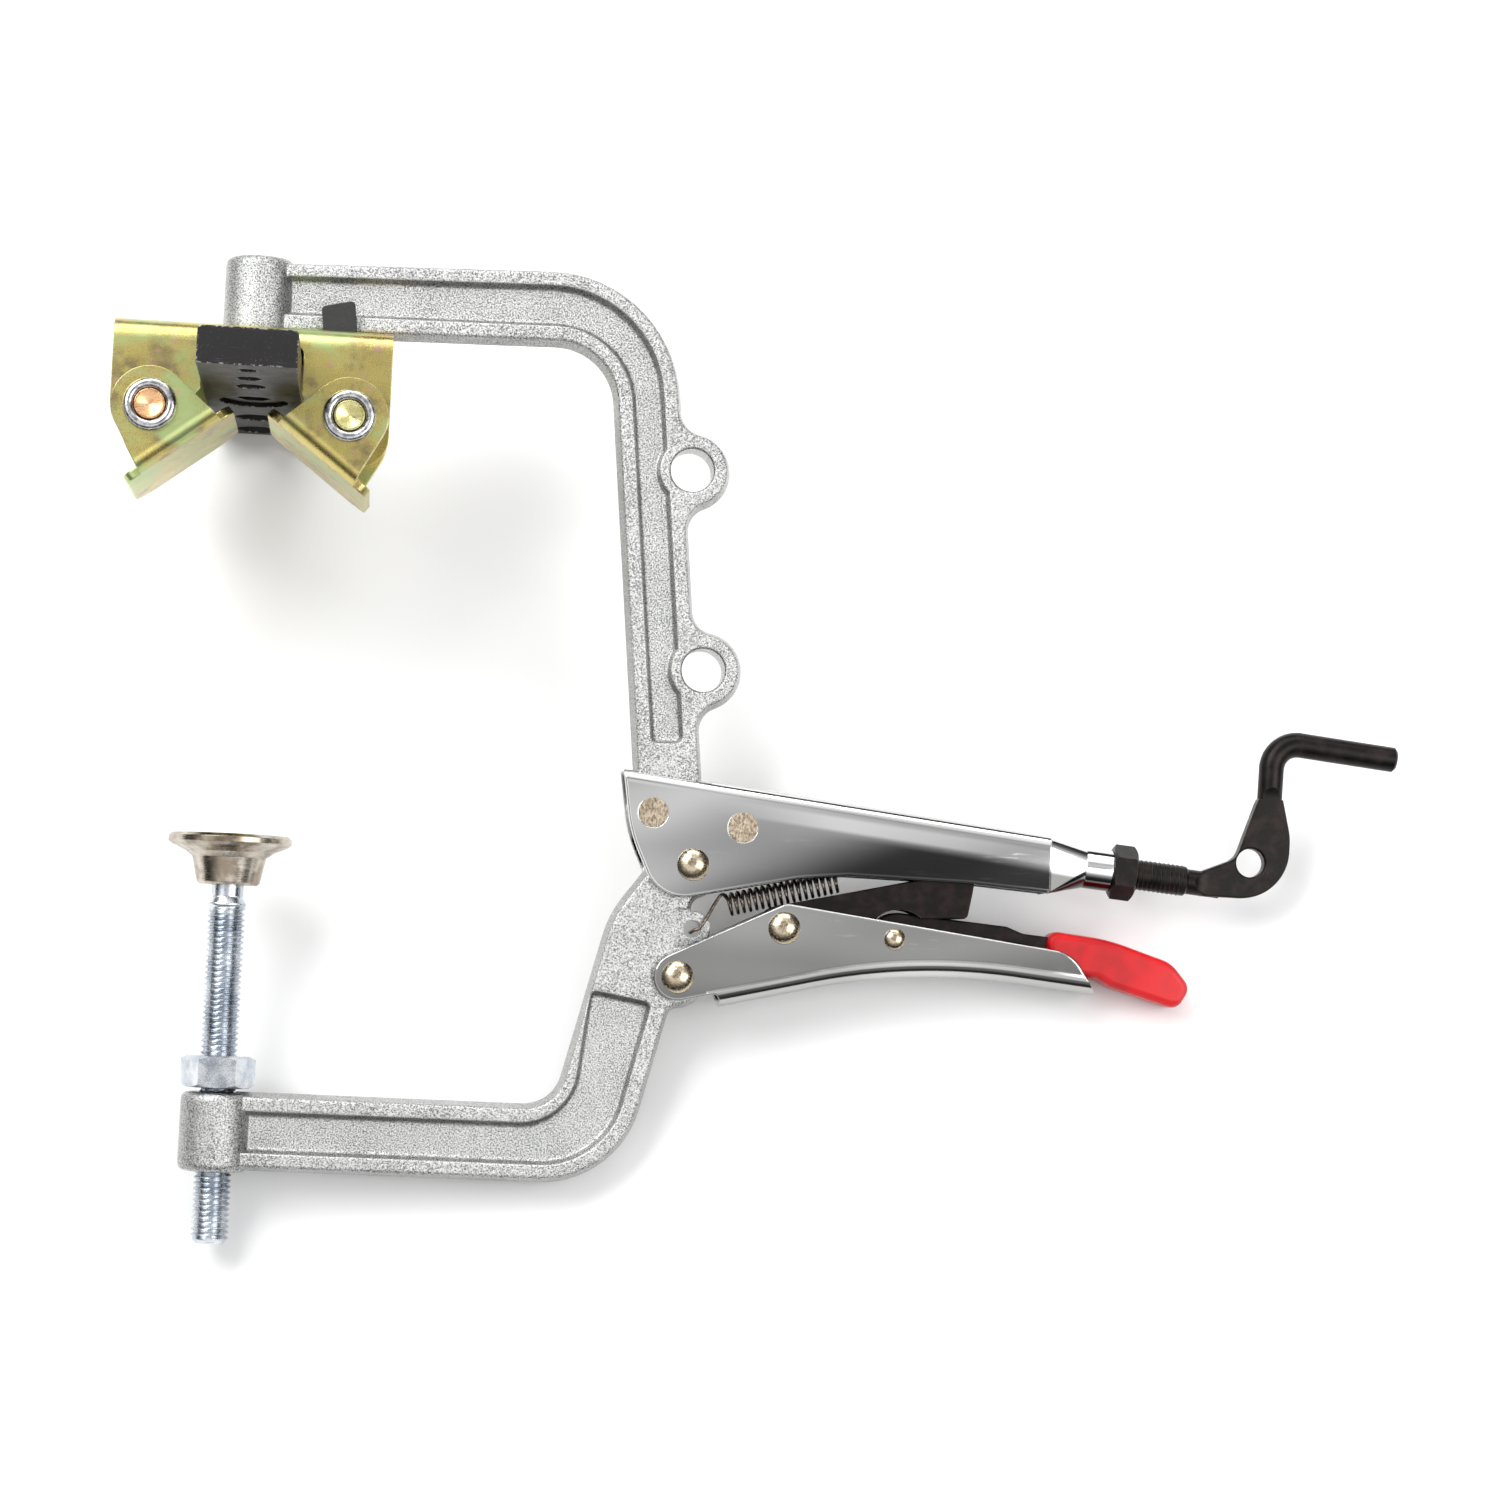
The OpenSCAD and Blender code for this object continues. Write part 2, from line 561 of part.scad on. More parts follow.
module lower_handle_shape() {
    difference() {
        shaped(low_outline, -handle_half, handle_half, [handle_half, 0.6], [3, 4],
            [handle_half, low_bend]);
        shaped(low_inner, -handle_in, handle_in, [handle_in + 1, 0.5]);
        for (c = [handle_pin, link_pin]) translate(c) cylinder(h = 40, d = rivet_d, center = true);
        translate(lever_pin) cylinder(h = 40, d = lever_rivet_d, center = true);
    }
}

// Toggle link: two cheeks joined at the rear, where the screw's tip bears on them
cheek_out = handle_in - 0.3;
cheek_in = spring_d / 2 + 0.4;
link_r = 6.2;
link_end = pivot + [77.4, 7];
arch_r = 9.1;
arch_at = pivot + [56.5, -18.5];
link_under = link_pin + [22.4, 3.5];
link_over = link_end + [-13.9, -7.6];
link_outline = [
    disc(link_pin, link_r, reaching(link_pin, link_r, link_over) + 360,
        leaving(link_pin, link_r, link_under) + 360),
    [link_under[0], link_under[1], 3],
    [link_end[0] - 2.6, link_pin[1] + 4.8, 1.5],
    [link_end[0] - 1.4, link_end[1] - 11, 14],
    [link_end[0], link_end[1], 2.5],
    [link_end[0] - 7.5, link_end[1], 3],
    [link_over[0], link_over[1], 6]];
tip_gap = 4.6;

module toggle_link_shape() {
    difference() {
        plate(link_outline, cheek_out, 0.4);
        translate(arch_at) cylinder(h = 40, r = arch_r, center = true);
        translate([link_pin[0] - 20, link_pin[1] - 20, -cheek_in])
            cube([link_end[0] - link_pin[0] + 20 - 4.4, 60, 2 * cheek_in]);
        translate(link_pin) cylinder(h = 40, r = rivet_d / 2 + fit, center = true);
    }
}

// Release lever with its dipped grip
lever_pin = pivot + [55.1, -17.4];
lever_rivet_d = 4;
lever_half = 3.2;
grip_half = 4.9;
grip_wall = 1.4;
cam_r = arch_r - 0.8;
grip_outline = [
    [pivot[0] + 98.3, pivot[1] - 24.6, 3.2],
    [low_tip[0] + 0.8, pivot[1] - 25.6, 3],
    [low_tip[0] + 4.4, pivot[1] - 27.7, 8],
    [pivot[0] + 133.5, pivot[1] - 32.9, 3.4],
    [pivot[0] + 137, pivot[1] - 26.8, 3.4],
    [pivot[0] + 131.5, pivot[1] - 20.3, 9],
    [pivot[0] + 114, pivot[1] - 14.8, 50],
    [pivot[0] + 96.3, pivot[1] - 12.9, 3.2]];
tang = grown(grip_outline, -grip_wall);
lever_under = [tang[0][0] - 4, lever_pin[1] - 6.2];
lever_over = pivot + [86, -12.5];
lever_floor = lever_pin - [0, 7.1];
cam_end = 280;
lever_outline = concat(
    [disc(arch_at, cam_r, reaching(arch_at, cam_r, lever_over) + 360, cam_end),
    off_disc(arch_at, cam_r, cam_end, lever_floor, lever_under - lever_floor, 4),
    [lever_under[0], lever_under[1], 6]],
    [for (i = [1:len(tang) - 2]) tang[i]],
    [[pivot[0] + 90.5, pivot[1] - 14.2, 3],
    [lever_over[0], lever_over[1], 3]]);

module release_lever_shape() {
    difference() {
        plate(lever_outline, lever_half, 0.5);
        translate(lever_pin) cylinder(h = 40, r = lever_rivet_d / 2 + fit, center = true);
    }
}
module release_grip_shape() {
    difference() {
        plate(grip_outline, grip_half, 1.9);
        plate(lever_outline, lever_half + tiny, 0.5);
    }
}

// Adjusting screw: a threaded rod, flattened to an eye and bent to a crank
thread_end = on_screw(neck_end[0] + 21.1);
screw_tip = on_screw(link_end[0] + tip_gap);
eye_half = 2.3;
eye_at = neck_end + [38.3, 3.964];
eye_hole_d = 7.8;
eye_r = 13.4;
rod_r = rod_d / 2;
neck_at = on_screw(neck_end[0] + 25.2);
rise_foot = neck_end + [43.4, 21.564];
rise_lean = 1.5;
rise_dir = [sin(rise_lean), cos(rise_lean)];
arm_out = [cos(-5.8), sin(-5.8)];
crank_end = neck_end + [78.1, 34.164];
crank_bend_r = 7;
crank_corner = crossing(rise_foot, rise_dir, crank_end, arm_out);
crank_turn = 90 - rise_lean + 5.8;
crank_t = crank_bend_r * tan(crank_turn / 2);
crank_arm_l = norm(crank_end - crank_corner) - crank_t;
eye_outline = [
    [neck_at[0], neck_at[1] - rod_r, 0],
    [neck_end[0] + 48.9, neck_at[1] - rod_r - 0.3, eye_r],
    [neck_end[0] + 49.1, neck_end[1] + 11.564, 18],
    [rise_foot[0] + rod_r, rise_foot[1], 0],
    [rise_foot[0] - rod_r, rise_foot[1], 0],
    [rise_foot[0] - rod_r - 0.6, rise_foot[1] - 1.5, 4],
    [neck_end[0] + 34.3, neck_end[1] + 4.964, 5],
    [neck_at[0], neck_at[1] + rod_r, 0]];

module rod(p, d, l) { translate(p) rotate(heading(d)) rotate([0, 90, 0]) cylinder(h = l, r = rod_r); }

// The scoop that leads from the round rod down to the flat eye on both faces
module scoops(p, d) {
    for (s = [0, 1]) mirror([0, 0, s]) translate([p[0], p[1], eye_half]) rotate(heading(d)) {
        translate([0, -20, 0]) cube([12, 40, 10]);
        translate([0, 0, 7]) rotate([90, 0, 0]) cylinder(h = 40, r = 7, center = true);
    }
}

module adjusting_screw_shape() {
    overlap = 0.25;
    elbow_side = [rise_dir[1], -rise_dir[0]];
    thread_l = norm(thread_end - screw_tip);
    difference() {
        union() {
            translate(screw_tip) rotate(screw_slope) rotate([0, 90, 0]) rotate_extrude()
                polygon([[0, 0], [screw_d / 2 - 1, 0], [screw_d / 2, 1], [screw_d / 2, thread_l - 0.6],
                    [rod_r - 0.1, thread_l + 0.1], [0, thread_l + 0.1]]);
            difference() {
                rod(thread_end - screw_dir * 3, screw_dir, norm(neck_at - thread_end) + 8);
                scoops(neck_at + screw_dir * 1.5, screw_dir);
            }
            shaped(eye_outline, -eye_half, eye_half, [eye_half, 0.5]);
            difference() {
                rod(rise_foot - rise_dir * 5, rise_dir,
                    norm(crank_corner - rise_foot) + 5 - crank_t + overlap);
                scoops(rise_foot - rise_dir * 0.5, -rise_dir);
            }
            translate(crank_corner - rise_dir * crank_t + elbow_side * crank_bend_r)
                rotate(heading(-elbow_side) - crank_turn) rotate_extrude(angle = crank_turn)
                    translate([crank_bend_r, 0]) circle(r = rod_r + 0.04);
            translate(crank_corner + arm_out * (crank_t - overlap)) rotate(heading(arm_out))
                rotate([0, 90, 0]) rotate_extrude() polygon([[0, 0], [rod_r, 0],
                    [rod_r, crank_arm_l + overlap - 0.7], [rod_r - 0.7, crank_arm_l + overlap],
                    [0, crank_arm_l + overlap]]);
        }
        chamfered_hole(eye_at, eye_hole_d / 2, eye_half);
    }
}

// A hexagon nut along z, chamfered on both faces
module nut(af, t, hole_r) {
    corner = af / 2 / cos(30);
    difference() {
        intersection() {
            cylinder(h = t, r = corner, $fn = 6);
            union() {
                cylinder(h = t / 2 + tiny, r1 = af / 2 - 0.2, r2 = af / 2 - 0.2 + (t / 2 + tiny) * 1.73);
                translate([0, 0, t / 2 - tiny])
                    cylinder(h = t / 2 + tiny, r1 = af / 2 - 0.2 + (t / 2 + tiny) * 1.73, r2 = af / 2 - 0.2);
            }
        }
        translate([0, 0, -1]) cylinder(h = t + 2, r = hole_r);
        for (s = [0, 1]) translate([0, 0, s * t]) mirror([0, 0, s]) translate([0, 0, -tiny])
            cylinder(h = 0.8, r1 = hole_r + 0.8, r2 = hole_r);
    }
}
lock_nut_t = 6.5;
spindle_nut_gap = 0.8;

// Tension spring between the lower arm's ear and the upper handle's spine
spring_start = pivot + [10.2, -10.2];
spring_slope = 14.8;
spring_dir = [cos(spring_slope), sin(spring_slope)];
spring_out = [-spring_dir[1], spring_dir[0]];
spring_l = 31;
spring_turns = 18;
wire_sides = 5;
turn_steps = 8;
hook_over = 0.004;
wire_r = wire_d / 2;
coil_r = spring_d / 2 - wire_r;
function coil_point(t) =
    let (p = spring_start + spring_dir * spring_l * t + spring_out * coil_r * cos(360 * spring_turns * t))
    [p[0], p[1], coil_r * sin(360 * spring_turns * t)];
function spaced(p, z) = [p[0], p[1], z];
spine_at = spring_start + spring_dir * spring_l + [3, 0];
hook_low = [spaced(spring_hole + [-0.2, -0.9], -3), spaced(spring_hole + [-0.2, -0.9], 3.2),
    spaced(spring_hole + [2.6, 1.2], 3.4), spaced(spring_start - spring_dir * 1.4 + spring_out * coil_r, 1),
    coil_point(hook_over)];
hook_high = [coil_point(1 - hook_over), spaced(spine_at + [0, 3], -0.6), spaced([spine_at[0],
    handle_top[1] + (spine_at[0] - handle_top[0]) * tan(handle_slope) - sheet - wire_r], -0.6)];

// A coil of round wire, and bent wire as a chain of rods
module coil() {
    n = spring_turns * turn_steps;
    rings = [for (i = [0:n])
        let (d = coil_point((i + 0.5) / n) - coil_point((i - 0.5) / n), w = d / norm(d),
             a = cross(w, [spring_dir[0], spring_dir[1], 0]), u = a / norm(a), v = cross(w, u))
        for (k = [0:wire_sides - 1])
            coil_point(i / n) + wire_r * (u * cos(360 * k / wire_sides) + v * sin(360 * k / wire_sides))];
    faces = concat([[for (k = [0:wire_sides - 1]) k]],
        [for (i = [0:n - 1], k = [0:wire_sides - 1])
            [i * wire_sides + k, (i + 1) * wire_sides + k, (i + 1) * wire_sides + (k + 1) % wire_sides,
                i * wire_sides + (k + 1) % wire_sides]],
        [[for (k = [wire_sides - 1:-1:0]) n * wire_sides + k]]);
    polyhedron(points = rings, faces = faces, convexity = 10);
}
module bent_wire(p) {
    for (i = [0:len(p) - 2]) let (d = p[i + 1] - p[i]) translate(p[i])
        rotate([0, acos(d[2] / norm(d)), atan2(d[1], d[0])]) cylinder(h = norm(d), r = wire_r, $fn = 8);
    for (q = p) translate(q) sphere(r = wire_r, $fn = 8);
}
module spring_shape() {
    coil();
    bent_wire(hook_low);
    bent_wire(hook_high);
}

// Spindle, its nut and the swivel pad, all on the clamp axis
ball_y = -face_drop - 7.9;
spindle_neck_r = 4.2;
pad_under = face_drop + 13.3;
swivel_rim = 3;
cup_r = 9.8;
cup_foot_r = 8.3;
module spindle_shape() {
    len = spindle_drop + ball_y;
    shoulder_y = pad_under + 3.4;
    translate([0, -spindle_drop, 0]) rotate([-90, 0, 0]) rotate_extrude() polygon([
        [0, 0], [spindle_d / 2 - 1.4, 0], [spindle_d / 2, 1.4],
        [spindle_d / 2, spindle_drop - shoulder_y - 1.6],
        [spindle_neck_r, spindle_drop - shoulder_y + 0.2], [spindle_neck_r, len], [0, len]]);
    translate([0, ball_y, 0]) sphere(r = ball_r);
}
module swivel_pad_shape() {
    top = -face_drop;
    difference() {
        translate([0, -pad_under, 0]) rotate([-90, 0, 0]) rotate_extrude() difference() {
            polygon([[0, 0], [cup_foot_r - 0.6, 0], [cup_foot_r, 0.6], [cup_r, pad_under - face_drop - 6],
                [cup_r + 1.9, pad_under - face_drop - 4.6],
                [swivel_r - 1, pad_under - face_drop - swivel_rim],
                [swivel_r, pad_under - face_drop - swivel_rim + 0.8],
                [swivel_r, pad_under - face_drop - 0.8],
                [swivel_r - 0.8, pad_under - face_drop], [0, pad_under - face_drop]]);
        }
        translate([0, ball_y, 0]) sphere(r = ball_r + fit);
        translate([0, -pad_under - 1, 0]) rotate([-90, 0, 0])
            cylinder(h = 1 + pad_under + ball_y, r1 = spindle_neck_r + 1.5, r2 = spindle_neck_r + 0.1);
        translate([0, -pad_under - 1, 0]) rotate([-90, 0, 0]) cylinder(h = 3.4, r = ball_r - 0.35);
    }
}

// Drill bar with its row of guide holes, bored through on the clamp axis plane
bar_edge_r = 1.3;
head_d = 16;
head_h = 6.5;
counterbore_d = head_d + 2.6;
guides = [
    [bar_l / 2 - guide_margin, guide_1_d],
    [bar_l / 2 - guide_margin - 13.5, guide_2_d],
    [bar_l / 2 - guide_margin - 27.2, guide_3_d],
    [-bar_l / 2 + guide_margin + 24.5, guide_4_d],
    [-bar_l / 2 + guide_margin + 0.5, guide_5_d]];
module drill_bar_shape() {
    difference() {
        linear_extrude(bar_l, center = true) difference() {
            translate([-bar_w / 2, 0]) square([bar_w, bar_t]);
            for (s = [-1, 1]) translate([s * (bar_w / 2 - bar_edge_r), bar_t - bar_edge_r]) difference() {
                translate([s > 0 ? 0 : -bar_edge_r - 1, 0]) square(bar_edge_r + 1);
                circle(r = bar_edge_r);
            }
        }
        for (g = guides) translate([0, -1, g[0]]) rotate([-90, 0, 0]) cylinder(h = bar_t + 2, d = g[1]);
        post(-1, bar_t + 1, head_screw_d / 2 + 0.5);
        post(-1, head_recess + head_h, counterbore_d / 2);
    }
}
module bar_screw_shape() {
    socket_af = 8;
    difference() {
        union() {
            post(head_recess, head_recess + head_h, head_d / 2);
            post(head_recess, saddle_y + 13, head_screw_d / 2 - fit);
        }
        translate([0, head_recess - 1, 0]) rotate([-90, 0, 0])
            cylinder(h = 4.6, d = socket_af / cos(30), $fn = 6);
    }
}

// Locator: a strap under the saddle with two fingers that straddle the arm
finger_in = half + 0.4;
finger_t = 3.4;
finger_w = 9;
finger_x = 22.4;
finger_tilt = 7;
finger_h = 8.6;
module locator_shape() {
    strap_half = finger_in + finger_t;
    difference() {
        union() {
            translate([-13, bar_t, -strap_half])
                cube([finger_x + finger_w / 2 + 14, locator_t, 2 * strap_half]);
            for (s = [0, 1]) mirror([0, 0, s]) translate([finger_x, web_y, finger_in]) {
                translate([-finger_w / 2, -1, 0]) cube([finger_w, saddle_sheet + 1, finger_t]);
                translate([0, saddle_sheet - 0.7, 0]) rotate(finger_tilt) translate([0, 0, finger_t / 2])
                    plate([[-finger_w / 2, 0, 0], [finger_w / 2, 0, 0], [finger_w / 2, finger_h + 1.4, 1.2],
                        [-finger_w / 2, finger_h + 0.4, 1.2]], finger_t / 2, 0.3);
            }
        }
        post(bar_t - 1, web_y + 1, head_screw_d / 2 + 0.3);
    }
}

// Saddle: a folded channel that spans the bar and carries the pad pins
flange_low = 13.45;
saddle_outline = [
    [-saddle_half, -flange_low, 8.6],
    [-bar_w / 2 - 10, -flange_low, 3],
    [-bar_w / 2 - 0.5, -0.2, 0.6],
    [-bar_w / 2 - 0.5, bar_t + 2.4, 2],
    [bar_w / 2 + 0.5, bar_t + 2.4, 2],
    [bar_w / 2 + 0.5, -0.2, 0.6],
    [bar_w / 2 + 10, -flange_low, 3],
    [saddle_half, -flange_low, 8.6],
    [saddle_half, saddle_y + 1, 0],
    [-saddle_half, saddle_y + 1, 0]];
module channel_section(w, h, r, t) {
    inner = r - t;
    difference() {
        union() {
            translate([-w / 2, -h]) square([w, h - r]);
            translate([r - w / 2, -h]) square([w - 2 * r, h]);
            for (s = [-1, 1]) translate([s * (w / 2 - r), -r]) circle(r = r);
        }
        translate([t - w / 2, -h - 1]) square([w - 2 * t, h + 1 - r]);
        translate([r - w / 2, -h - 1]) square([w - 2 * r, h + 1 - t]);
        for (s = [-1, 1]) translate([s * (w / 2 - r), -r]) circle(r = inner);
    }
}
module pin_places() { for (s = [-1, 1]) translate([s * pin_x, -pin_drop, 0]) children(); }
module saddle_shape() {
    difference() {
        intersection() {
            translate([-saddle_half - 1, saddle_y, 0]) rotate([0, 90, 0])
                linear_extrude(2 * saddle_half + 2)
                    channel_section(saddle_w, saddle_y + flange_low + 2, saddle_bend, saddle_sheet);
            linear_extrude(saddle_w + 2, center = true) polygon(traced(saddle_outline));
        }
        pin_places() cylinder(h = saddle_w + 2, r = pin_d / 2 + fit, center = true);
        post(web_y - 1, saddle_y + 1, head_screw_d / 2 + 0.3);
        for (s = [-1, 1]) translate([finger_x - finger_w / 2 - 0.3, web_y - 1,
            s * (finger_in + finger_t / 2) - finger_t / 2 - 0.3])
            cube([finger_w + 0.6, saddle_sheet + 2, finger_t + 0.6]);
    }
}
// V pad: a folded channel hung on its pin, drawn with the pin at the origin and its base below
pad_gap = 0.4;
pad_w = saddle_w + 2 * (pad_gap + pad_sheet);
pad_out = 12.2;
pad_bend = 4.5;
tab_half = 20;
module pad_shape() {
    left = -pad_out;
    right = pad_l - pad_out;
    al = heading([left, -pad_h]) + 360 - acos(pad_ear_r / norm([left, pad_h]));
    ar = heading([right, -pad_h]) + acos(pad_ear_r / norm([right, pad_h]));
    difference() {
        union() {
            intersection() {
                translate([-40, -pad_h, 0]) rotate([0, 90, 0]) linear_extrude(80) mirror([0, 1])
                    channel_section(pad_w, pad_h + pad_ear_r + 2, pad_bend, pad_sheet);
                linear_extrude(pad_w + 2, center = true) union() {
                    circle(r = pad_ear_r);
                    polygon([[left, -pad_h - 1], [right, -pad_h - 1], [right, -pad_h],
                        pad_ear_r * [cos(ar), sin(ar)], [0, 0], pad_ear_r * [cos(al), sin(al)],
                        [left, -pad_h]]);
                }
            }
            translate([0, pad_sheet / 2 - pad_h, 0]) rotate([90, 0, 0]) plate([
                [left - pad_tab, -tab_half, 3], [right + pad_tab, -tab_half, 3],
                [right + pad_tab, tab_half, 3], [left - pad_tab, tab_half, 3]], pad_sheet / 2, 0.4);
        }
        cylinder(h = pad_w + 2, r = pin_d / 2 + fit, center = true);
    }
}
module pad_at(s) {
    translate([s * pin_x, -pin_drop, 0]) mirror([s > 0 ? 1 : 0, 0, 0]) rotate(pad_slope) pad_shape();
}
ring_t = 1.6;
ring_gap = 0.15;
pin_half = pad_w / 2 + ring_gap + 1.1;
module pin_shape(s) {
    translate([s * pin_x, -pin_drop, 0]) difference() {
        cylinder(h = 2 * pin_half, d = pin_d, center = true);
        for (k = [0, 1]) mirror([0, 0, k]) translate([0, 0, pin_half - 1.1])
            cylinder(h = 1.1 + tiny, r1 = 0, r2 = pin_d / 2 - 0.5);
    }
}
module ring_shape() {
    bore = pin_d / 2 + 0.08;
    wide = (ring_d / 2 - bore) / 2;
    for (k = [0, 1]) mirror([0, 0, k]) translate([0, 0, pad_w / 2 + ring_gap]) rotate_extrude()
        intersection() {
            translate([bore + wide, ring_t - wide]) circle(r = wide);
            translate([bore, 0]) square([2 * wide, ring_t]);
        }
}

// A rivet through both sides of a handle, domed at both ends
module domed_rivet(p, d, head, h) {
    ball = (head * head + h * h) / (2 * h);
    translate(p) {
        cylinder(h = 2 * handle_half, d = d, center = true);
        for (k = [0, 1]) mirror([0, 0, k]) translate([0, 0, handle_half]) intersection() {
            translate([0, 0, h - ball]) sphere(r = ball);
            cylinder(h = h, r = head + 1);
        }
    }
}

// At rest the tool lies on its back, on the bar's rear corner, the lower arm and the lower handle
rest_bar = [bar_w / 2, 0, -bar_l / 2];
rest_jaw = [jaw_outer[0] - 15, jaw_bottom + 1.6, -half];
rest_grip = [low_tip[0] - 1, low_tip[1] + 1.9, -handle_half];
rest_up = cross(rest_jaw - rest_bar, rest_grip - rest_bar);
rest_roll = atan2(rest_up[1], rest_up[2]);
rest_pitch = atan2(-rest_up[0], norm([rest_up[1], rest_up[2]]));
module place() { rotate([rest_roll, rest_pitch, 0]) translate([0, face_drop, 0]) children(); }

module upper_arm() { color(steel) place() upper_arm_shape(); }
module upper_handle() { color(chrome) place() upper_handle_shape(); }
module lower_arm() { color(steel) place() lower_arm_shape(); }
module lower_handle() { color(chrome) place() lower_handle_shape(); }
module toggle_link() { color(black) place() toggle_link_shape(); }
module release_lever() { color(black) place() release_lever_shape(); }
module release_grip() { color("red") place() release_grip_shape(); }
module adjusting_screw() { color(black) place() adjusting_screw_shape(); }
module adjusting_lock_nut() {
    color(black) place() translate(neck_end + screw_dir * 0.1) rotate(screw_slope) rotate([0, 90, 0])
        rotate(30) nut(lock_nut_af, lock_nut_t, screw_d / 2 + fit);
}
module tension_spring() { color([0.3, 0.26, 0.22]) place() spring_shape(); }
module spindle() { color(zinc) place() spindle_shape(); }
module spindle_nut() {
    color(zinc) place() translate([0, jaw_top + spindle_nut_gap, 0]) rotate([-90, 0, 0])
        nut(spindle_nut_af, spindle_nut_t, spindle_d / 2 + fit);
}
module swivel_pad() { color(nickel) place() swivel_pad_shape(); }
module drill_guide_bar() { color(black) place() drill_bar_shape(); }
module guide_bar_screw() { color(black) place() bar_screw_shape(); }
module locator() { color(black) place() locator_shape(); }
module saddle_bracket() { color(gold) place() saddle_shape(); }
module v_pad_left() { color(gold) place() pad_at(-1); }
module v_pad_right() { color(gold) place() pad_at(1); }
module pad_pin_left() { color("goldenrod") place() pin_shape(-1); }
module pad_pin_right() { color("goldenrod") place() pin_shape(1); }
module pin_rings() { color("silver") place() pin_places() ring_shape(); }
module arm_rivets() {
    color(nickel) place() for (c = [rivet_left, rivet_right])
        translate(c) cylinder(h = 2 * handle_half, d = flush_d, center = true);
}
module jaw_pivot_rivet() { color(nickel) place() domed_rivet(pivot, rivet_d, dome_r, dome_h); }
module handle_pivot_rivet() { color(nickel) place() domed_rivet(handle_pin, rivet_d, dome_r, dome_h); }
module link_rivet() { color(nickel) place() domed_rivet(link_pin, rivet_d, dome_r, dome_h); }
module lever_rivet() {
    color(nickel) place() domed_rivet(lever_pin, lever_rivet_d, dome_r * 0.67, dome_h * 0.7);
}

upper_arm();
upper_handle();
lower_arm();
lower_handle();
toggle_link();
release_lever();
release_grip();
adjusting_screw();
adjusting_lock_nut();
tension_spring();
spindle();
spindle_nut();
swivel_pad();
drill_guide_bar();
guide_bar_screw();
locator();
saddle_bracket();
v_pad_left();
v_pad_right();
pad_pin_left();
pad_pin_right();
pin_rings();
arm_rivets();
jaw_pivot_rivet();
handle_pivot_rivet();
link_rivet();
lever_rivet();
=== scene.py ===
import math

import bpy
import numpy as np
from mathutils import Euler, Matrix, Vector


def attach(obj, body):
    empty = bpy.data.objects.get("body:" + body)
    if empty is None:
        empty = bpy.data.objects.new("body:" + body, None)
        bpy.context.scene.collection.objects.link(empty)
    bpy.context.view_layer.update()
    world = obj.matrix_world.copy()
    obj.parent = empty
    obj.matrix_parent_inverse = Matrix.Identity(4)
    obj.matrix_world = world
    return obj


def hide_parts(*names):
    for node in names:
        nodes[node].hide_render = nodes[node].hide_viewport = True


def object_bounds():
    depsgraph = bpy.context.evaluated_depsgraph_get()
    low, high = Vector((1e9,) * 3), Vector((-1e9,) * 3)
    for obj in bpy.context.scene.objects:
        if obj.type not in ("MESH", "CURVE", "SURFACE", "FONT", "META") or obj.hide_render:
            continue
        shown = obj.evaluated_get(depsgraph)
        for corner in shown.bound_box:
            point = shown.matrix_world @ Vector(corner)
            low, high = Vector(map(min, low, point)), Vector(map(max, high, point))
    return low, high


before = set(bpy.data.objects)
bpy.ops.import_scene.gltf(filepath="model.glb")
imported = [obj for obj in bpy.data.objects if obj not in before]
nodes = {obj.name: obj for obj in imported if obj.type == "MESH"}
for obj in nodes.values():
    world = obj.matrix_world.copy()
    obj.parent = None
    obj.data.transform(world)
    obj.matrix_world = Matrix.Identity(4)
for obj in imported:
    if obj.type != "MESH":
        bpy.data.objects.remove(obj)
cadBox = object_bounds()
print("frame loaded with", len(nodes), "nodes")

# The tool's own axes: millimetres, y up along the spindle, z toward the viewer. It lies tilted
# on the table, and these turn its own axes into the frame's.
lying = {"roll": 13.9843, "pitch": 4.85522, "drop": 116.0}
millimetre = 0.001
lyingTurn = (math.radians(lying["roll"]), math.radians(lying["pitch"]), 0)


# Tool millimetres to frame metres: drop along y, then turn by roll and pitch
def toFrame(points):
    moved = (np.asarray(points, float) + [0, lying["drop"], 0]) * millimetre
    return moved @ np.array(Euler(lyingTurn).to_matrix()).T


def unit(v):
    v = np.asarray(v, float)
    return v / np.linalg.norm(v, axis=-1, keepdims=True)


# sRGB colour to the linear one that Blender's sockets take
def linear(colour):
    return tuple(c / 12.92 if c <= 0.04045 else ((c + 0.055) / 1.055) ** 2.4 for c in colour) + (1.0,)


# A shader socket that sums, products and powers can be written with
class Wire:
    def __init__(self, board, socket):
        self.board, self.socket = board, socket

    def sum(self, kind, a, b):
        return self.board.add("ShaderNodeMath", {"operation": kind}, {0: a, 1: b})

    def __add__(self, other):
        return self.sum("ADD", self, other)

    def __radd__(self, other):
        return self.sum("ADD", other, self)

    def __sub__(self, other):
        return self.sum("SUBTRACT", self, other)

    def __rsub__(self, other):
        return self.sum("SUBTRACT", other, self)

    def __mul__(self, other):
        return self.sum("MULTIPLY", self, other)

    def __rmul__(self, other):
        return self.sum("MULTIPLY", other, self)


# A node tree, of a material or the world
class Board:
    def __init__(self, tree):
        self.tree = tree

    # Adds a node: its settings first, then the values or wires of its sockets
    def add(self, kind, settings, values, output=0):
        node = self.tree.nodes.new(kind)
        for key, value in settings.items():
            if key != "stops":
                setattr(node, key, value)
                continue
            ramp = node.color_ramp.elements
            while len(ramp) < len(value):
                ramp.new(0.5)
            for element, (at, colour) in zip(ramp, value):
                element.position, element.color = at, colour
        for key, value in values.items():
            if isinstance(value, Wire):
                self.tree.links.new(value.socket, node.inputs[key])
            else:
                node.inputs[key].default_value = value
        return Wire(self, node.outputs[output])


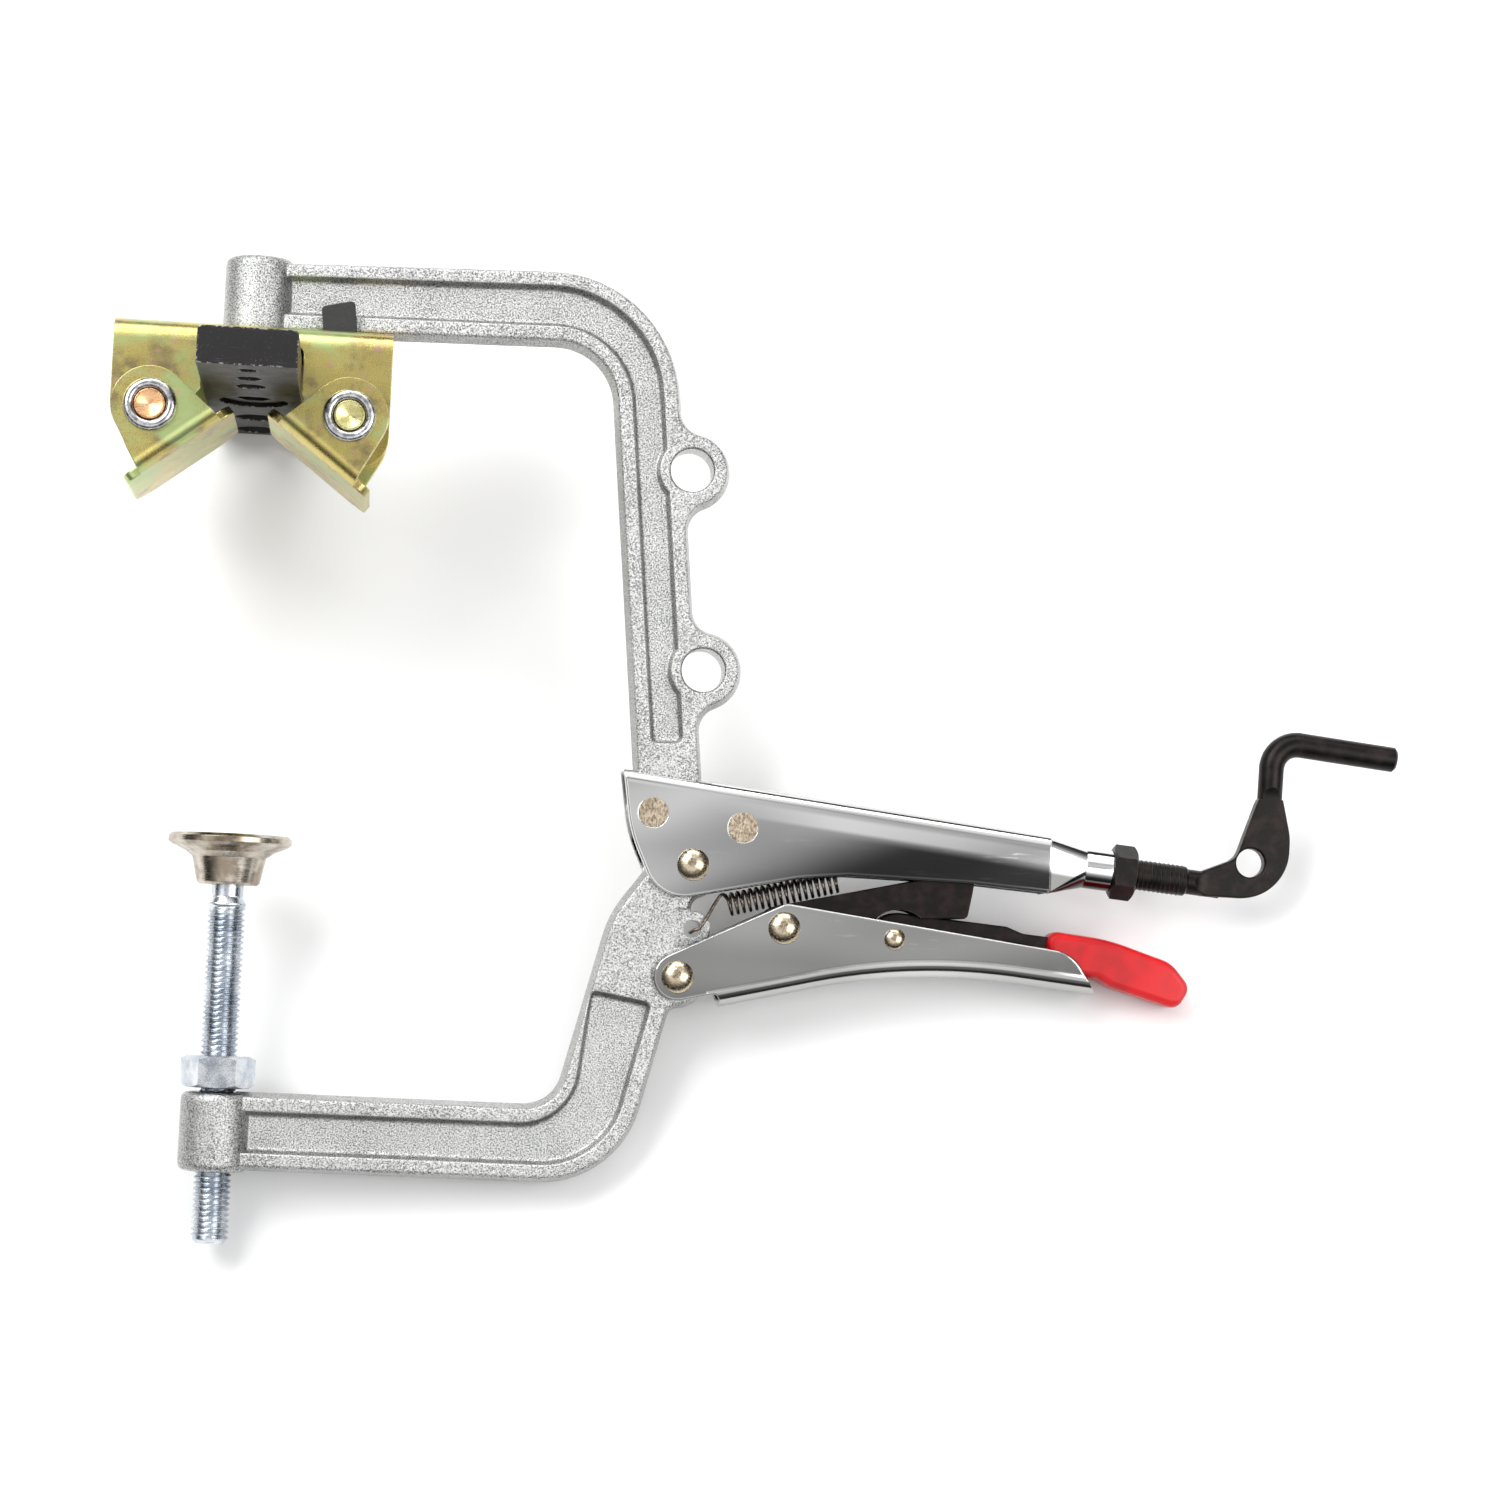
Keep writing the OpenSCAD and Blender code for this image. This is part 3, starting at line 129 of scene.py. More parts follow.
# One material: a Principled shader whose fixed values are set on its sockets
class Finish(Board):
    def __init__(self, name, colour, **fixed):
        self.material = bpy.data.materials.new(name)
        self.material.use_nodes = True
        super().__init__(self.material.node_tree)
        self.shader = self.tree.nodes["Principled BSDF"]
        self.shader.inputs["Base Color"].default_value = linear(colour)
        for socket, value in fixed.items():
            self.shader.inputs[socket.replace("_", " ")].default_value = value
        place = self.add("ShaderNodeTexCoord", {}, {}, "Object")
        origin = toFrame([[0, 0, 0]])[0]
        self.here = self.add("ShaderNodeMapping", {"vector_type": "TEXTURE"}, {
            "Vector": place, "Location": tuple(origin), "Rotation": lyingTurn,
            "Scale": (millimetre,) * 3}, "Vector")

    # Noise of that many blots a millimetre, drawn out along the tool's axes by stretch
    def noise(self, scale, detail=3.0, rough=0.55, stretch=(1, 1, 1), shift=(0, 0, 0)):
        at = self.here
        if stretch != (1, 1, 1) or shift != (0, 0, 0):
            at = self.add("ShaderNodeMapping", {}, {"Vector": at, "Location": shift,
                          "Scale": tuple(1 / s for s in stretch)}, "Vector")
        return self.add("ShaderNodeTexNoise", {}, {"Vector": at, "Scale": scale, "Detail": detail,
                        "Roughness": rough}, 0)

    # Smooth step of a wire from low to high, given out between the two ends of out
    def between(self, wire, low, high, out=(0.0, 1.0)):
        return self.add("ShaderNodeMapRange", {"interpolation_type": "SMOOTHSTEP"}, {
            "Value": wire, "From Min": low, "From Max": high, "To Min": out[0], "To Max": out[1]}, 0)

    # Two colours mixed by a wire
    def mix(self, amount, first, second):
        first, second = (c if isinstance(c, Wire) else linear(c) for c in (first, second))
        return self.add("ShaderNodeMix", {"data_type": "RGBA"}, {0: amount, 6: first, 7: second}, 2)

    # Where the surface turns sharply within that many millimetres: 1 at an edge
    def edges(self, width, low=0.02, high=0.2):
        soft = self.add("ShaderNodeBevel", {"samples": 6}, {"Radius": width * millimetre}, 0)
        plain = self.add("ShaderNodeNewGeometry", {}, {}, "Normal")
        alike = self.add("ShaderNodeVectorMath", {"operation": "DOT_PRODUCT"}, {0: soft, 1: plain}, "Value")
        return self.between(1 - alike, low, high)

    # One of the tool's own coordinates, in millimetres
    def axis(self, name):
        return self.add("ShaderNodeSeparateXYZ", {}, {"Vector": self.here}, name)

    # Bump of that depth in millimetres, over edges softened by that many millimetres
    def relief(self, height, depth, strength=1.0, soften=0.0):
        values = {"Height": height, "Distance": depth * millimetre, "Strength": strength}
        if soften:
            values["Normal"] = self.add("ShaderNodeBevel", {"samples": 6}, {"Radius": soften * millimetre}, 0)
        self.set("Normal", self.add("ShaderNodeBump", {}, values, 0))

    def set(self, socket, wire):
        self.tree.links.new(wire.socket, self.shader.inputs[socket])


def makeForgedSteel():
    look = {"bright": (0.83, 0.83, 0.825), "dull": (0.34, 0.345, 0.34), "grain": 2.6, "fine": 7.0,
            "cloud": 0.06, "edge": 1.2, "rough": (0.17, 0.4), "depth": 0.2, "soften": 0.9}
    f = Finish("forgedSteel", look["bright"], Metallic=1.0, Roughness=0.36)
    grain = f.noise(look["grain"], 4.0, 0.65)
    fine = f.noise(look["fine"], 2.0, 0.7)
    cloud = f.noise(look["cloud"], 2.0)
    edge = f.edges(look["edge"])
    mottled = f.between(grain * 0.55 + fine * 0.45, 0.4, 0.6)
    # painted highlight: edge * 0.4 paints the rims lighter, standing for light caught along the edges
    tone = f.between(mottled * 0.75 + cloud * 0.25 + edge * 0.4, 0.1, 0.85)
    f.set("Base Color", f.mix(tone, look["dull"], look["bright"]))
    f.set("Roughness", f.between(mottled * 0.6 + cloud * 0.4 - edge * 0.3, 0.0, 1.0, look["rough"]))
    f.relief(grain * 0.6 + fine * 0.4, look["depth"], 0.8, look["soften"])
    return f.material


# The upper handle's spine, which falls toward the rear
handle = {"top": (103.2, -93.0), "slope": -6.2, "sheet": 1.8}


# Chrome; with the flag set, its base colour also carries painted reflections, a painted white gleam and a
# painted dark band
def makeChrome(name, colour, paintedReflections):
    look = {"dark": (0.12, 0.12, 0.118), "lamp": (1.0, 1.0, 1.0), "waves": 0.035, "scratches": 1.2,
            "haze": 0.12, "rough": (0.06, 0.2), "depth": 2.4, "scratchDepth": 0.0003,
            # lamp and dark are the colours of the painted reflections; the gleam and shade entries place the
            # painted gleam and the painted shade
            "paintedGleamStart": (3.2, 5.0), "paintedGleamEnd": (7.4, 8.8), "paintedGleamAlong": (125, 165),
            "paintedShadeStart": (8.6, 11.5), "paintedShadeAlong": (168, 205)}
    f = Finish(name, colour, Metallic=1.0, Roughness=0.09)
    waves = f.noise(look["waves"], 0.5, 0.4, stretch=(2.5, 1, 1))
    scratches = f.noise(look["scratches"], 2.0, 0.6, stretch=(14, 1, 1))
    haze = f.noise(look["haze"], 3.0, 0.6, shift=(40, 7, 3))
    tone = f.mix(f.between(waves, 0.4, 0.62), colour, tuple(c * 0.86 for c in colour))
    if paintedReflections:
        # painted reflections: the upper handle's rear is painted white near its spine, a painted reflection
        # of a lamp, and painted dark below it, a painted reflection of the dark room
        x, y = f.axis("X"), f.axis("Y")
        fall = math.tan(math.radians(handle["slope"]))
        below = handle["top"][1] + (x - handle["top"][0]) * fall - y
        paintedGleam = f.between(below, *look["paintedGleamStart"]) * (1 - f.between(below, *look["paintedGleamEnd"]))
        paintedGleam = paintedGleam * f.between(x, *look["paintedGleamAlong"])
        paintedShade = f.between(below + waves * 2.0, *look["paintedShadeStart"])
        paintedShade = paintedShade * f.between(x + below * 2.0, *look["paintedShadeAlong"]) * 0.9
        tone = f.mix(paintedShade, f.mix(paintedGleam, tone, look["lamp"]), look["dark"])
    dulled = haze * 0.7 + f.between(scratches, 0.58, 0.72) * 0.3
    f.set("Base Color", tone)
    f.set("Roughness", f.between(dulled, 0.3, 0.95, look["rough"]))
    f.relief(waves + scratches * look["scratchDepth"], look["depth"], 0.8, 0.5)
    return f.material


def makeBlackOxide(name, base, worn, amount):
    look = {"browner": (1.624, 1.45, 1.45), "grain": 3.0, "patch": 0.25, "edge": 0.7, "rough": (0.26, 0.5),
            "depth": 0.06}
    f = Finish(name, base, Metallic=0.85, Roughness=0.38)
    grain = f.noise(look["grain"], 3.0, 0.6)
    patch = f.noise(look["patch"], 4.0, 0.6)
    rubbed = f.edges(look["edge"], 0.03, 0.3) * f.between(patch, 0.35, 0.6) * amount
    brown = tuple(c * b for c, b in zip(base, look["browner"]))
    tone = f.mix(f.between(patch, 0.4, 0.7), base, brown)
    f.set("Base Color", f.mix(rubbed, tone, worn))
    f.set("Roughness", f.between(grain * 0.5 + patch * 0.5, 0.25, 0.75, look["rough"]))
    f.relief(grain, look["depth"], 0.6, 0.3)
    return f.material


def makeSpringWire():
    look = {"dark": (0.24, 0.21, 0.18), "light": (0.55, 0.50, 0.45), "drawn": 2.0, "rough": (0.2, 0.42)}
    f = Finish("springWire", look["dark"], Metallic=1.0, Roughness=0.3)
    drawn = f.noise(look["drawn"], 2.0, 0.5)
    f.set("Base Color", f.mix(f.between(drawn, 0.35, 0.65), look["dark"], look["light"]))
    f.set("Roughness", f.between(drawn, 0.3, 0.7, look["rough"]))
    return f.material


def makeZinc():
    look = {"bright": (0.87, 0.885, 0.90), "blue": (0.66, 0.69, 0.73), "dark": (0.22, 0.23, 0.26),
            "cloud": 0.18, "fine": 3.5, "rough": (0.17, 0.36), "depth": 0.03, "spot": (1.2, 1.9),
            "spotTop": (-223.9, -223.3)}
    f = Finish("zincPlate", look["bright"], Metallic=1.0, Roughness=0.24)
    cloud = f.noise(look["cloud"], 3.0, 0.6)
    fine = f.noise(look["fine"], 3.0, 0.6)
    plate = f.mix(f.between(cloud * 0.7 + fine * 0.3, 0.35, 0.65), look["blue"], look["bright"])
    # the staked end of the spindle is dark at its middle
    flat = f.add("ShaderNodeCombineXYZ", {}, {"X": f.axis("X"), "Z": f.axis("Z")}, 0)
    away = f.add("ShaderNodeVectorMath", {"operation": "LENGTH"}, {0: flat}, "Value")
    spot = (1 - f.between(away, *look["spot"])) * (1 - f.between(f.axis("Y"), *look["spotTop"]))
    f.set("Base Color", f.mix(spot, plate, look["dark"]))
    f.set("Roughness", f.between(cloud * 0.4 + fine * 0.6, 0.3, 0.7, look["rough"]))
    f.relief(fine, look["depth"], 0.5)
    return f.material


def makeWarmNickel():
    look = {"dark": (0.56, 0.51, 0.45), "light": (0.80, 0.77, 0.72), "turned": 1.6, "cloud": 0.15,
            "rough": (0.14, 0.34), "depth": 0.03}
    f = Finish("warmNickel", look["light"], Metallic=1.0, Roughness=0.22)
    turned = f.noise(look["turned"], 3.0, 0.6, stretch=(8, 0.6, 8))
    cloud = f.noise(look["cloud"], 3.0, 0.6)
    f.set("Base Color", f.mix(f.between(cloud, 0.35, 0.65), look["dark"], look["light"]))
    f.set("Roughness", f.between(turned * 0.6 + cloud * 0.4, 0.3, 0.7, look["rough"]))
    f.relief(turned, look["depth"], 0.5, 0.25)
    return f.material


def makeYellowZinc():
    look = {"gold": (0.78, 0.72, 0.44), "green": (0.70, 0.76, 0.52), "pink": (0.80, 0.64, 0.56),
            "brown": (0.52, 0.45, 0.38), "worn": (0.90, 0.87, 0.72), "bands": 0.07, "spots": 0.3,
            "stains": 0.11, "grain": 4.0, "edge": 0.8, "rough": (0.2, 0.4), "depth": 0.05}
    f = Finish("yellowZinc", look["gold"], Metallic=1.0, Roughness=0.3)
    bands = f.noise(look["bands"], 3.0, 0.55, stretch=(1.6, 1, 1))
    spots = f.noise(look["spots"], 4.0, 0.6, shift=(11, 5, 2))
    stains = f.noise(look["stains"], 4.0, 0.6, shift=(4, 8, 2))
    grain = f.noise(look["grain"], 3.0, 0.6)
    tone = f.mix(f.between(stains, 0.5, 0.68) * 0.7, look["gold"], look["brown"])
    tone = f.mix(f.between(bands, 0.45, 0.62), tone, look["green"])
    tone = f.mix(f.between(spots, 0.56, 0.72) * 0.75, tone, look["pink"])
    rubbed = f.edges(look["edge"], 0.03, 0.3) * f.between(spots, 0.4, 0.6) * 0.5
    f.set("Base Color", f.mix(rubbed, tone, look["worn"]))
    f.set("Roughness", f.between(grain * 0.5 + bands * 0.5, 0.3, 0.7, look["rough"]))
    f.relief(grain, look["depth"], 0.6, 0.3)
    return f.material


def makeBarBlack():
    look = {"coat": (0.13, 0.125, 0.125), "scratch": (0.34, 0.33, 0.33), "chip": (0.78, 0.77, 0.75),
            "grain": 3.2, "longWays": 1.1, "across": 0.9, "patch": 0.16, "edge": 0.9,
            "metal": (0.4, 1.0), "rough": (0.36, 0.58), "depth": 0.08}
    f = Finish("barBlack", look["coat"], Roughness=0.48, Specular_IOR_Level=0.35)
    grain = f.noise(look["grain"], 4.0, 0.65)
    longWays = f.noise(look["longWays"], 3.0, 0.7, stretch=(0.7, 0.7, 22))
    across = f.noise(look["across"], 3.0, 0.7, stretch=(18, 0.8, 0.8), shift=(3, 9, 1))
    patch = f.noise(look["patch"], 4.0, 0.65)
    scratched = f.between(longWays, 0.6, 0.7) * 0.6 + f.between(across, 0.63, 0.72) * 0.45
    chips = f.edges(look["edge"], 0.02, 0.22) * f.between(f.noise(0.9, 3.0, 0.7), 0.5, 0.6)
    worn = f.mix(scratched * f.between(patch, 0.35, 0.65), look["coat"], look["scratch"])
    f.set("Base Color", f.mix(chips, worn, look["chip"]))
    f.set("Metallic", f.between(chips, 0.2, 0.8, look["metal"]))
    f.set("Roughness", f.between(grain * 0.6 + patch * 0.4, 0.3, 0.7, look["rough"]))
    f.relief(grain * 0.7 - chips * 0.5 - scratched * 0.2, look["depth"], 0.7, 0.3)
    return f.material


def makeLocatorBlack():
    look = {"dark": (0.08, 0.08, 0.085), "light": (0.24, 0.23, 0.22), "lumps": 1.4, "rough": (0.42, 0.66),
            "depth": 0.22}
    f = Finish("locatorBlack", look["dark"], Roughness=0.55)
    lumps = f.noise(look["lumps"], 5.0, 0.7)
    f.set("Base Color", f.mix(f.between(lumps, 0.5, 0.75) * 0.6, look["dark"], look["light"]))
    f.set("Roughness", f.between(lumps, 0.3, 0.7, look["rough"]))
    f.relief(lumps, look["depth"], 0.8, 0.3)
    return f.material


# Turned pins, whose lathe marks follow one another along z
def makePin(name, light, dark):
    look = {"cloud": 0.35, "turned": 2.6, "rough": (0.2, 0.42), "depth": 0.04}
    f = Finish(name, light, Metallic=1.0, Roughness=0.3)
    cloud = f.noise(look["cloud"], 4.0, 0.6)
    turned = f.noise(look["turned"], 2.0, 0.6, stretch=(1, 1, 0.15))
    f.set("Base Color", f.mix(f.between(cloud * 0.6 + turned * 0.4, 0.35, 0.65), dark, light))
    f.set("Roughness", f.between(turned, 0.3, 0.7, look["rough"]))
    f.relief(turned, look["depth"], 0.6, 0.4)
    return f.material


def makeRingSteel():
    look = {"dark": (0.62, 0.62, 0.63), "light": (0.84, 0.84, 0.84), "cloud": 0.6, "rough": (0.15, 0.32),
            "depth": 0.02}
    f = Finish("ringSteel", look["light"], Metallic=1.0, Roughness=0.22)
    cloud = f.noise(look["cloud"], 3.0, 0.6)
    f.set("Base Color", f.mix(f.between(cloud, 0.35, 0.65), look["dark"], look["light"]))
    f.set("Roughness", f.between(cloud, 0.3, 0.7, look["rough"]))
    f.relief(cloud, look["depth"], 0.3, 0.2)
    return f.material


def makeRivet(name, light, dark, brushed):
    look = {"lines": 1.8, "cloud": 0.5, "depth": 0.02, "rough": (0.24, 0.45) if brushed else (0.14, 0.3),
            "stretch": (1, 2, 1) if brushed else (1, 1, 1)}
    f = Finish(name, light, Metallic=1.0, Roughness=0.25)
    lines = f.noise(look["lines"], 3.0, 0.65, stretch=look["stretch"])
    cloud = f.noise(look["cloud"], 3.0, 0.6, shift=(2, 5, 9))
    f.set("Base Color", f.mix(f.between(lines * 0.6 + cloud * 0.4, 0.35, 0.65), dark, light))
    f.set("Roughness", f.between(lines, 0.3, 0.7, look["rough"]))
    f.relief(lines, look["depth"], 0.6, 0.2)
    return f.material


def makeRedVinyl():
    look = {"red": (0.78, 0.008, 0.05), "deep": (0.66, 0.002, 0.03), "drip": 0.09, "dust": 4.0,
            "rough": (0.3, 0.45), "depth": 0.5}
    f = Finish("redVinyl", look["red"], Roughness=0.42, Specular_IOR_Level=0.35, Coat_Weight=0.14,
               Coat_Roughness=0.08)
    drip = f.noise(look["drip"], 2.0, 0.5)
    dust = f.noise(look["dust"], 3.0, 0.6)
    f.set("Base Color", f.mix(f.between(drip, 0.35, 0.65), look["deep"], look["red"]))
    f.set("Roughness", f.between(dust, 0.35, 0.7, look["rough"]))
    f.relief(drip, look["depth"], 0.3, 0.5)
    return f.material


forgedSteel = makeForgedSteel()
blackOxide = makeBlackOxide("blackOxide", (0.09, 0.08, 0.076), (0.40, 0.36, 0.32), 1.0)
# upper handle: chrome with painted reflections in its base colour
upperChromePaintedReflections = makeChrome("upperChromePaintedReflections", (0.88, 0.88, 0.875), True)
# painted shade: the lower handle's chrome is the same chrome as the upper's, painted darker
lowerChromePaintedShade = makeChrome("lowerChromePaintedShade", (0.78, 0.78, 0.77), False)
screwBlack = makeBlackOxide("screwBlack", (0.10, 0.095, 0.09), (0.36, 0.33, 0.30), 0.8)
springWire, zinc, yellowZinc = makeSpringWire(), makeZinc(), makeYellowZinc()
rivetNickel = makeRivet("rivetNickel", (0.80, 0.75, 0.66), (0.62, 0.56, 0.46), False)
finishes = {
    "upper_arm": forgedSteel, "lower_arm": forgedSteel,
    "upper_handle": upperChromePaintedReflections, "lower_handle": lowerChromePaintedShade,
    "toggle_link": blackOxide, "release_lever": blackOxide,
    "adjusting_screw": screwBlack, "adjusting_lock_nut": screwBlack, "guide_bar_screw": screwBlack,
    "release_grip": makeRedVinyl(), "tension_spring": springWire,
    "spindle": zinc, "spindle_nut": zinc, "swivel_pad": makeWarmNickel(),
    "drill_guide_bar": makeBarBlack(), "locator": makeLocatorBlack(),
    "saddle_bracket": yellowZinc, "v_pad_left": yellowZinc, "v_pad_right": yellowZinc,
    "pad_pin_left": makePin("copperPin", (0.95, 0.80, 0.62), (0.80, 0.56, 0.38)),
    "pad_pin_right": makePin("brassPin", (0.90, 0.87, 0.66), (0.70, 0.67, 0.42)),
    "pin_rings": makeRingSteel(),
    "arm_rivets": makeRivet("flushRivet", (0.80, 0.74, 0.65), (0.58, 0.52, 0.45), True),
    "jaw_pivot_rivet": rivetNickel, "handle_pivot_rivet": rivetNickel,
    "link_rivet": rivetNickel, "lever_rivet": rivetNickel,
}
for name, node in nodes.items():
    node.data.materials.clear()
    node.data.materials.append(finishes[name])
print("finishes made and laid on the nodes")


# Quads of a grid whose columns close round, with a lid on each end
def gridFaces(rows, columns):
    r, c = np.meshgrid(np.arange(rows - 1), np.arange(columns), indexing="ij")
    right = (c + 1) % columns
    quads = np.stack([r * columns + c, r * columns + right, (r + 1) * columns + right,
                      (r + 1) * columns + c], -1).reshape(-1, 4)
    lids = [list(range(columns))[::-1], list(range((rows - 1) * columns, rows * columns))]
    return quads.tolist() + lids


# A mesh of one or more grids, each its points in tool millimetres and its faces, put on a body
def addPiece(name, parts, finish, body, sharp, replaced=()):
    points, faces, count = [], [], 0
    for p, f in parts:
        points.append(p.reshape(-1, 3))
        faces += [[i + count for i in face] for face in f]
        count += len(points[-1])
    mesh = bpy.data.meshes.new(name)
    mesh.from_pydata(toFrame(np.concatenate(points)).tolist(), [], faces)
    mesh.validate()
    mesh.shade_smooth()
    mesh.set_sharp_from_angle(angle=math.radians(sharp))
    mesh.materials.append(finish)
    piece = bpy.data.objects.new(name, mesh)
    bpy.context.scene.collection.objects.link(piece)
    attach(piece, body)
    if replaced:
        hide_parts(*replaced)


# Shares of a thread's half turn that are flat at its crest and root, rows to a pitch, least radius
threadForm = {"crest": 0.08, "root": 0.12, "steps": 10, "least": 0.2}


# A turned bar along an axis. Its radius at height h and turn a is the profile's radius less the
# thread's depth times a flattened triangle wave of h / pitch - a / 360, inside the threaded span.
def turnedThread(start, along, heights, radii, thread, columns):
    w = unit(along)
    u = unit(np.cross([0, 0, 1], w) if abs(w[2]) < 0.9 else [1, 0, 0])
    v = np.cross(w, u)
    span = np.arange(heights[0], heights[-1], thread["pitch"] / threadForm["steps"])
    h = np.unique(np.concatenate([span, heights]))[:, None]
    a = np.linspace(0, 2 * np.pi, columns, endpoint=False)[None, :]
    wave = np.abs(2 * ((h / thread["pitch"] - a / (2 * np.pi)) % 1) - 1)
    wave = np.clip((wave - threadForm["crest"]) / (1 - threadForm["crest"] - threadForm["root"]), 0, 1)
    inside = np.clip((h - thread["from"]) / thread["pitch"], 0, 1) * np.clip(
        (thread["to"] - h) / thread["pitch"], 0, 1)
    r = np.maximum(np.interp(h, heights, radii) - thread["depth"] * wave * inside, threadForm["least"])
    points = (np.asarray(start, float) + h[..., None] * w + (r * np.cos(a))[..., None] * u
              + (r * np.sin(a))[..., None] * v)
    return points, gridFaces(len(h), columns)


spindle = {"radius": 5.0, "neck": 4.2, "end": -224.0, "shoulder": -134.3, "taper": 1.8, "ball": 5.3,
           "ballAt": -123.9, "ballRows": 14, "pitch": 1.5, "depth": 0.82, "chamfer": 1.4, "columns": 40}


# The thread's profile: chamfered end, plain radius, taper to the neck, and the ball's circle
def makeSpindle():
    s = spindle
    shoulder = s["shoulder"] - s["end"]
    ballFoot = s["ballAt"] - math.sqrt(s["ball"] ** 2 - s["neck"] ** 2)
    ball = np.linspace(ballFoot, s["ballAt"] + s["ball"], s["ballRows"])
    ballRadii = np.sqrt(np.maximum(s["ball"] ** 2 - (ball - s["ballAt"]) ** 2, threadForm["least"] ** 2))
    heights = np.concatenate([[0, s["chamfer"], shoulder, shoulder + s["taper"]], ball - s["end"]])
    radii = np.concatenate([[s["radius"] - s["chamfer"], s["radius"], s["radius"], s["neck"]], ballRadii])
    thread = {"pitch": s["pitch"], "depth": s["depth"], "from": 0.4, "to": shoulder - 0.3}
    bar = turnedThread([0, s["end"], 0], [0, 1, 0], heights, radii, thread, s["columns"])
    addPiece("spindle_thread", [bar], zinc, "spindle", 50, ["spindle"])


adjuster = {"tip": (205.0, -111.436), "slope": -5.0, "radius": 4.0, "length": 53.6, "pitch": 1.25,
            "proud": 0.2, "depth": 0.5, "plainTip": 1.2, "plainEnd": 0.9, "runOut": 0.8, "columns": 32}


# The thread stands a little proud of the plain rod and sinks into it at both ends
def makeScrewThread():
    s = adjuster
    slope = math.radians(s["slope"])
    low, high = s["plainTip"], s["length"] - s["plainEnd"]
    heights = np.array([low, low + s["runOut"], high - s["runOut"], high])
    radii = s["radius"] + s["proud"] * np.array([-1, 1, 1, -1])
    thread = {"pitch": s["pitch"], "depth": s["depth"], "from": low, "to": high}
    bar = turnedThread([*s["tip"], 0], [math.cos(slope), math.sin(slope), 0], heights, radii, thread,
                       s["columns"])
    addPiece("adjusting_screw_thread", [bar], screwBlack, "adjuster", 50)


# A round wire: at each point of the path a circle in the plane square to the path, its first
# spoke as near the reference direction as that plane allows
def tube(path, radius, reference, sides=12):
    along = unit(np.gradient(path, axis=0))
    reference = np.broadcast_to(reference, path.shape)
    u = unit(reference - (reference * along).sum(1, keepdims=True) * along)
    v = np.cross(along, u)
    a = np.linspace(0, 2 * np.pi, sides, endpoint=False)[None, :, None]
    points = path[:, None] + radius * (np.cos(a) * u[:, None] + np.sin(a) * v[:, None])
    return points, gridFaces(len(path), sides)


# A cubic through the points whose slope at each is half its neighbours' difference
def smoothPath(points, steps=10):
    p = np.asarray(points, float)
    p = np.concatenate([[2 * p[0] - p[1]], p, [2 * p[-1] - p[-2]]])
    t = np.linspace(0, 1, steps, endpoint=False)[None, :, None]
    a, b, c, d = (p[i:len(p) - 3 + i, None] for i in range(4))
    curve = b + 0.5 * t * (c - a + t * (2 * a - 5 * b + 4 * c - d + t * (3 * (b - c) + d - a)))
    return np.concatenate([curve.reshape(-1, 3), p[-2:-1]])


# The lower hook's points are measured from the hole in the arm, the upper's from the spine
spring = {"hole": (123.9, -135.3), "start": (133.2, -128.4), "slope": 14.8, "length": 31.0, "turns": 18,
          "rows": 28, "coilRadius": 2.75, "wireRadius": 0.45, "reach": 3, "lead": 1.4,
          "lowHook": [(-0.2, -0.9, -3), (-0.2, -0.9, 1.5), (0.4, -0.4, 3.2), (2.6, 1.2, 3.4)],
          "highHook": [(-1.2, 2.6, -0.4), (0, 4.5, -0.6)]}


# The coil: a circle about a sloping line, turned evenly as it moves along. Its upper hook hangs
# from the underside of the upper handle's spine.
def makeSpring():
    s = spring
    slope, fall = math.radians(s["slope"]), math.radians(handle["slope"])
    along = np.array([math.cos(slope), math.sin(slope), 0])
    out = np.array([-math.sin(slope), math.cos(slope), 0])
    z = np.array([0, 0, 1.0])
    t = np.linspace(0, 1, s["turns"] * s["rows"] + 1)[:, None]
    start = np.array([*s["start"], 0])
    turn = 2 * np.pi * s["turns"] * t
    radial = np.cos(turn) * out + np.sin(turn) * z
    coil = start + s["length"] * t * along + s["coilRadius"] * radial
    hole = np.array([*s["hole"], 0])
    low = smoothPath([hole + p for p in s["lowHook"]]
                     + [start - along * s["lead"] + out * s["coilRadius"] + z, coil[4]])
    spine = start + along * s["length"] + [s["reach"], 0, 0]
    under = handle["top"][1] + (spine[0] - handle["top"][0]) * math.tan(fall) - handle["sheet"]
    last = [spine[0], under - s["wireRadius"], s["highHook"][-1][2]]
    high = smoothPath([coil[-5]] + [spine + p for p in s["highHook"]] + [last])
    parts = [tube(coil, s["wireRadius"], radial), tube(low, s["wireRadius"], out),
             tube(high, s["wireRadius"], z)]
    addPiece("spring_wire_piece", parts, springWire, "frame", 60, ["tension_spring"])


makeSpindle()
makeScrewThread()
makeSpring()
print("threads and spring made")

# Light levels stay plain, so that a colour renders about as it is written. What metal sees goes
# from dark at the horizon to a bright ring overhead: each pair is a height and its level.
studio = {"floorLow": (0.94, 0.94, 0.94), "floorHigh": (0.97, 0.97, 0.97), "floorSize": 6.0,
          "key": 15.0, "fill": 9.0, "rim": 7.0, "around": 0.62, "blueness": 1.01,
          "overhead": [(0.0, 0.04), (0.30, 0.05), (0.45, 0.25), (0.60, 0.55), (0.74, 1.35), (0.88, 1.3),
                       (0.935, 0.34), (0.962, 0.62), (0.985, 0.85), (1.0, 0.3)]}


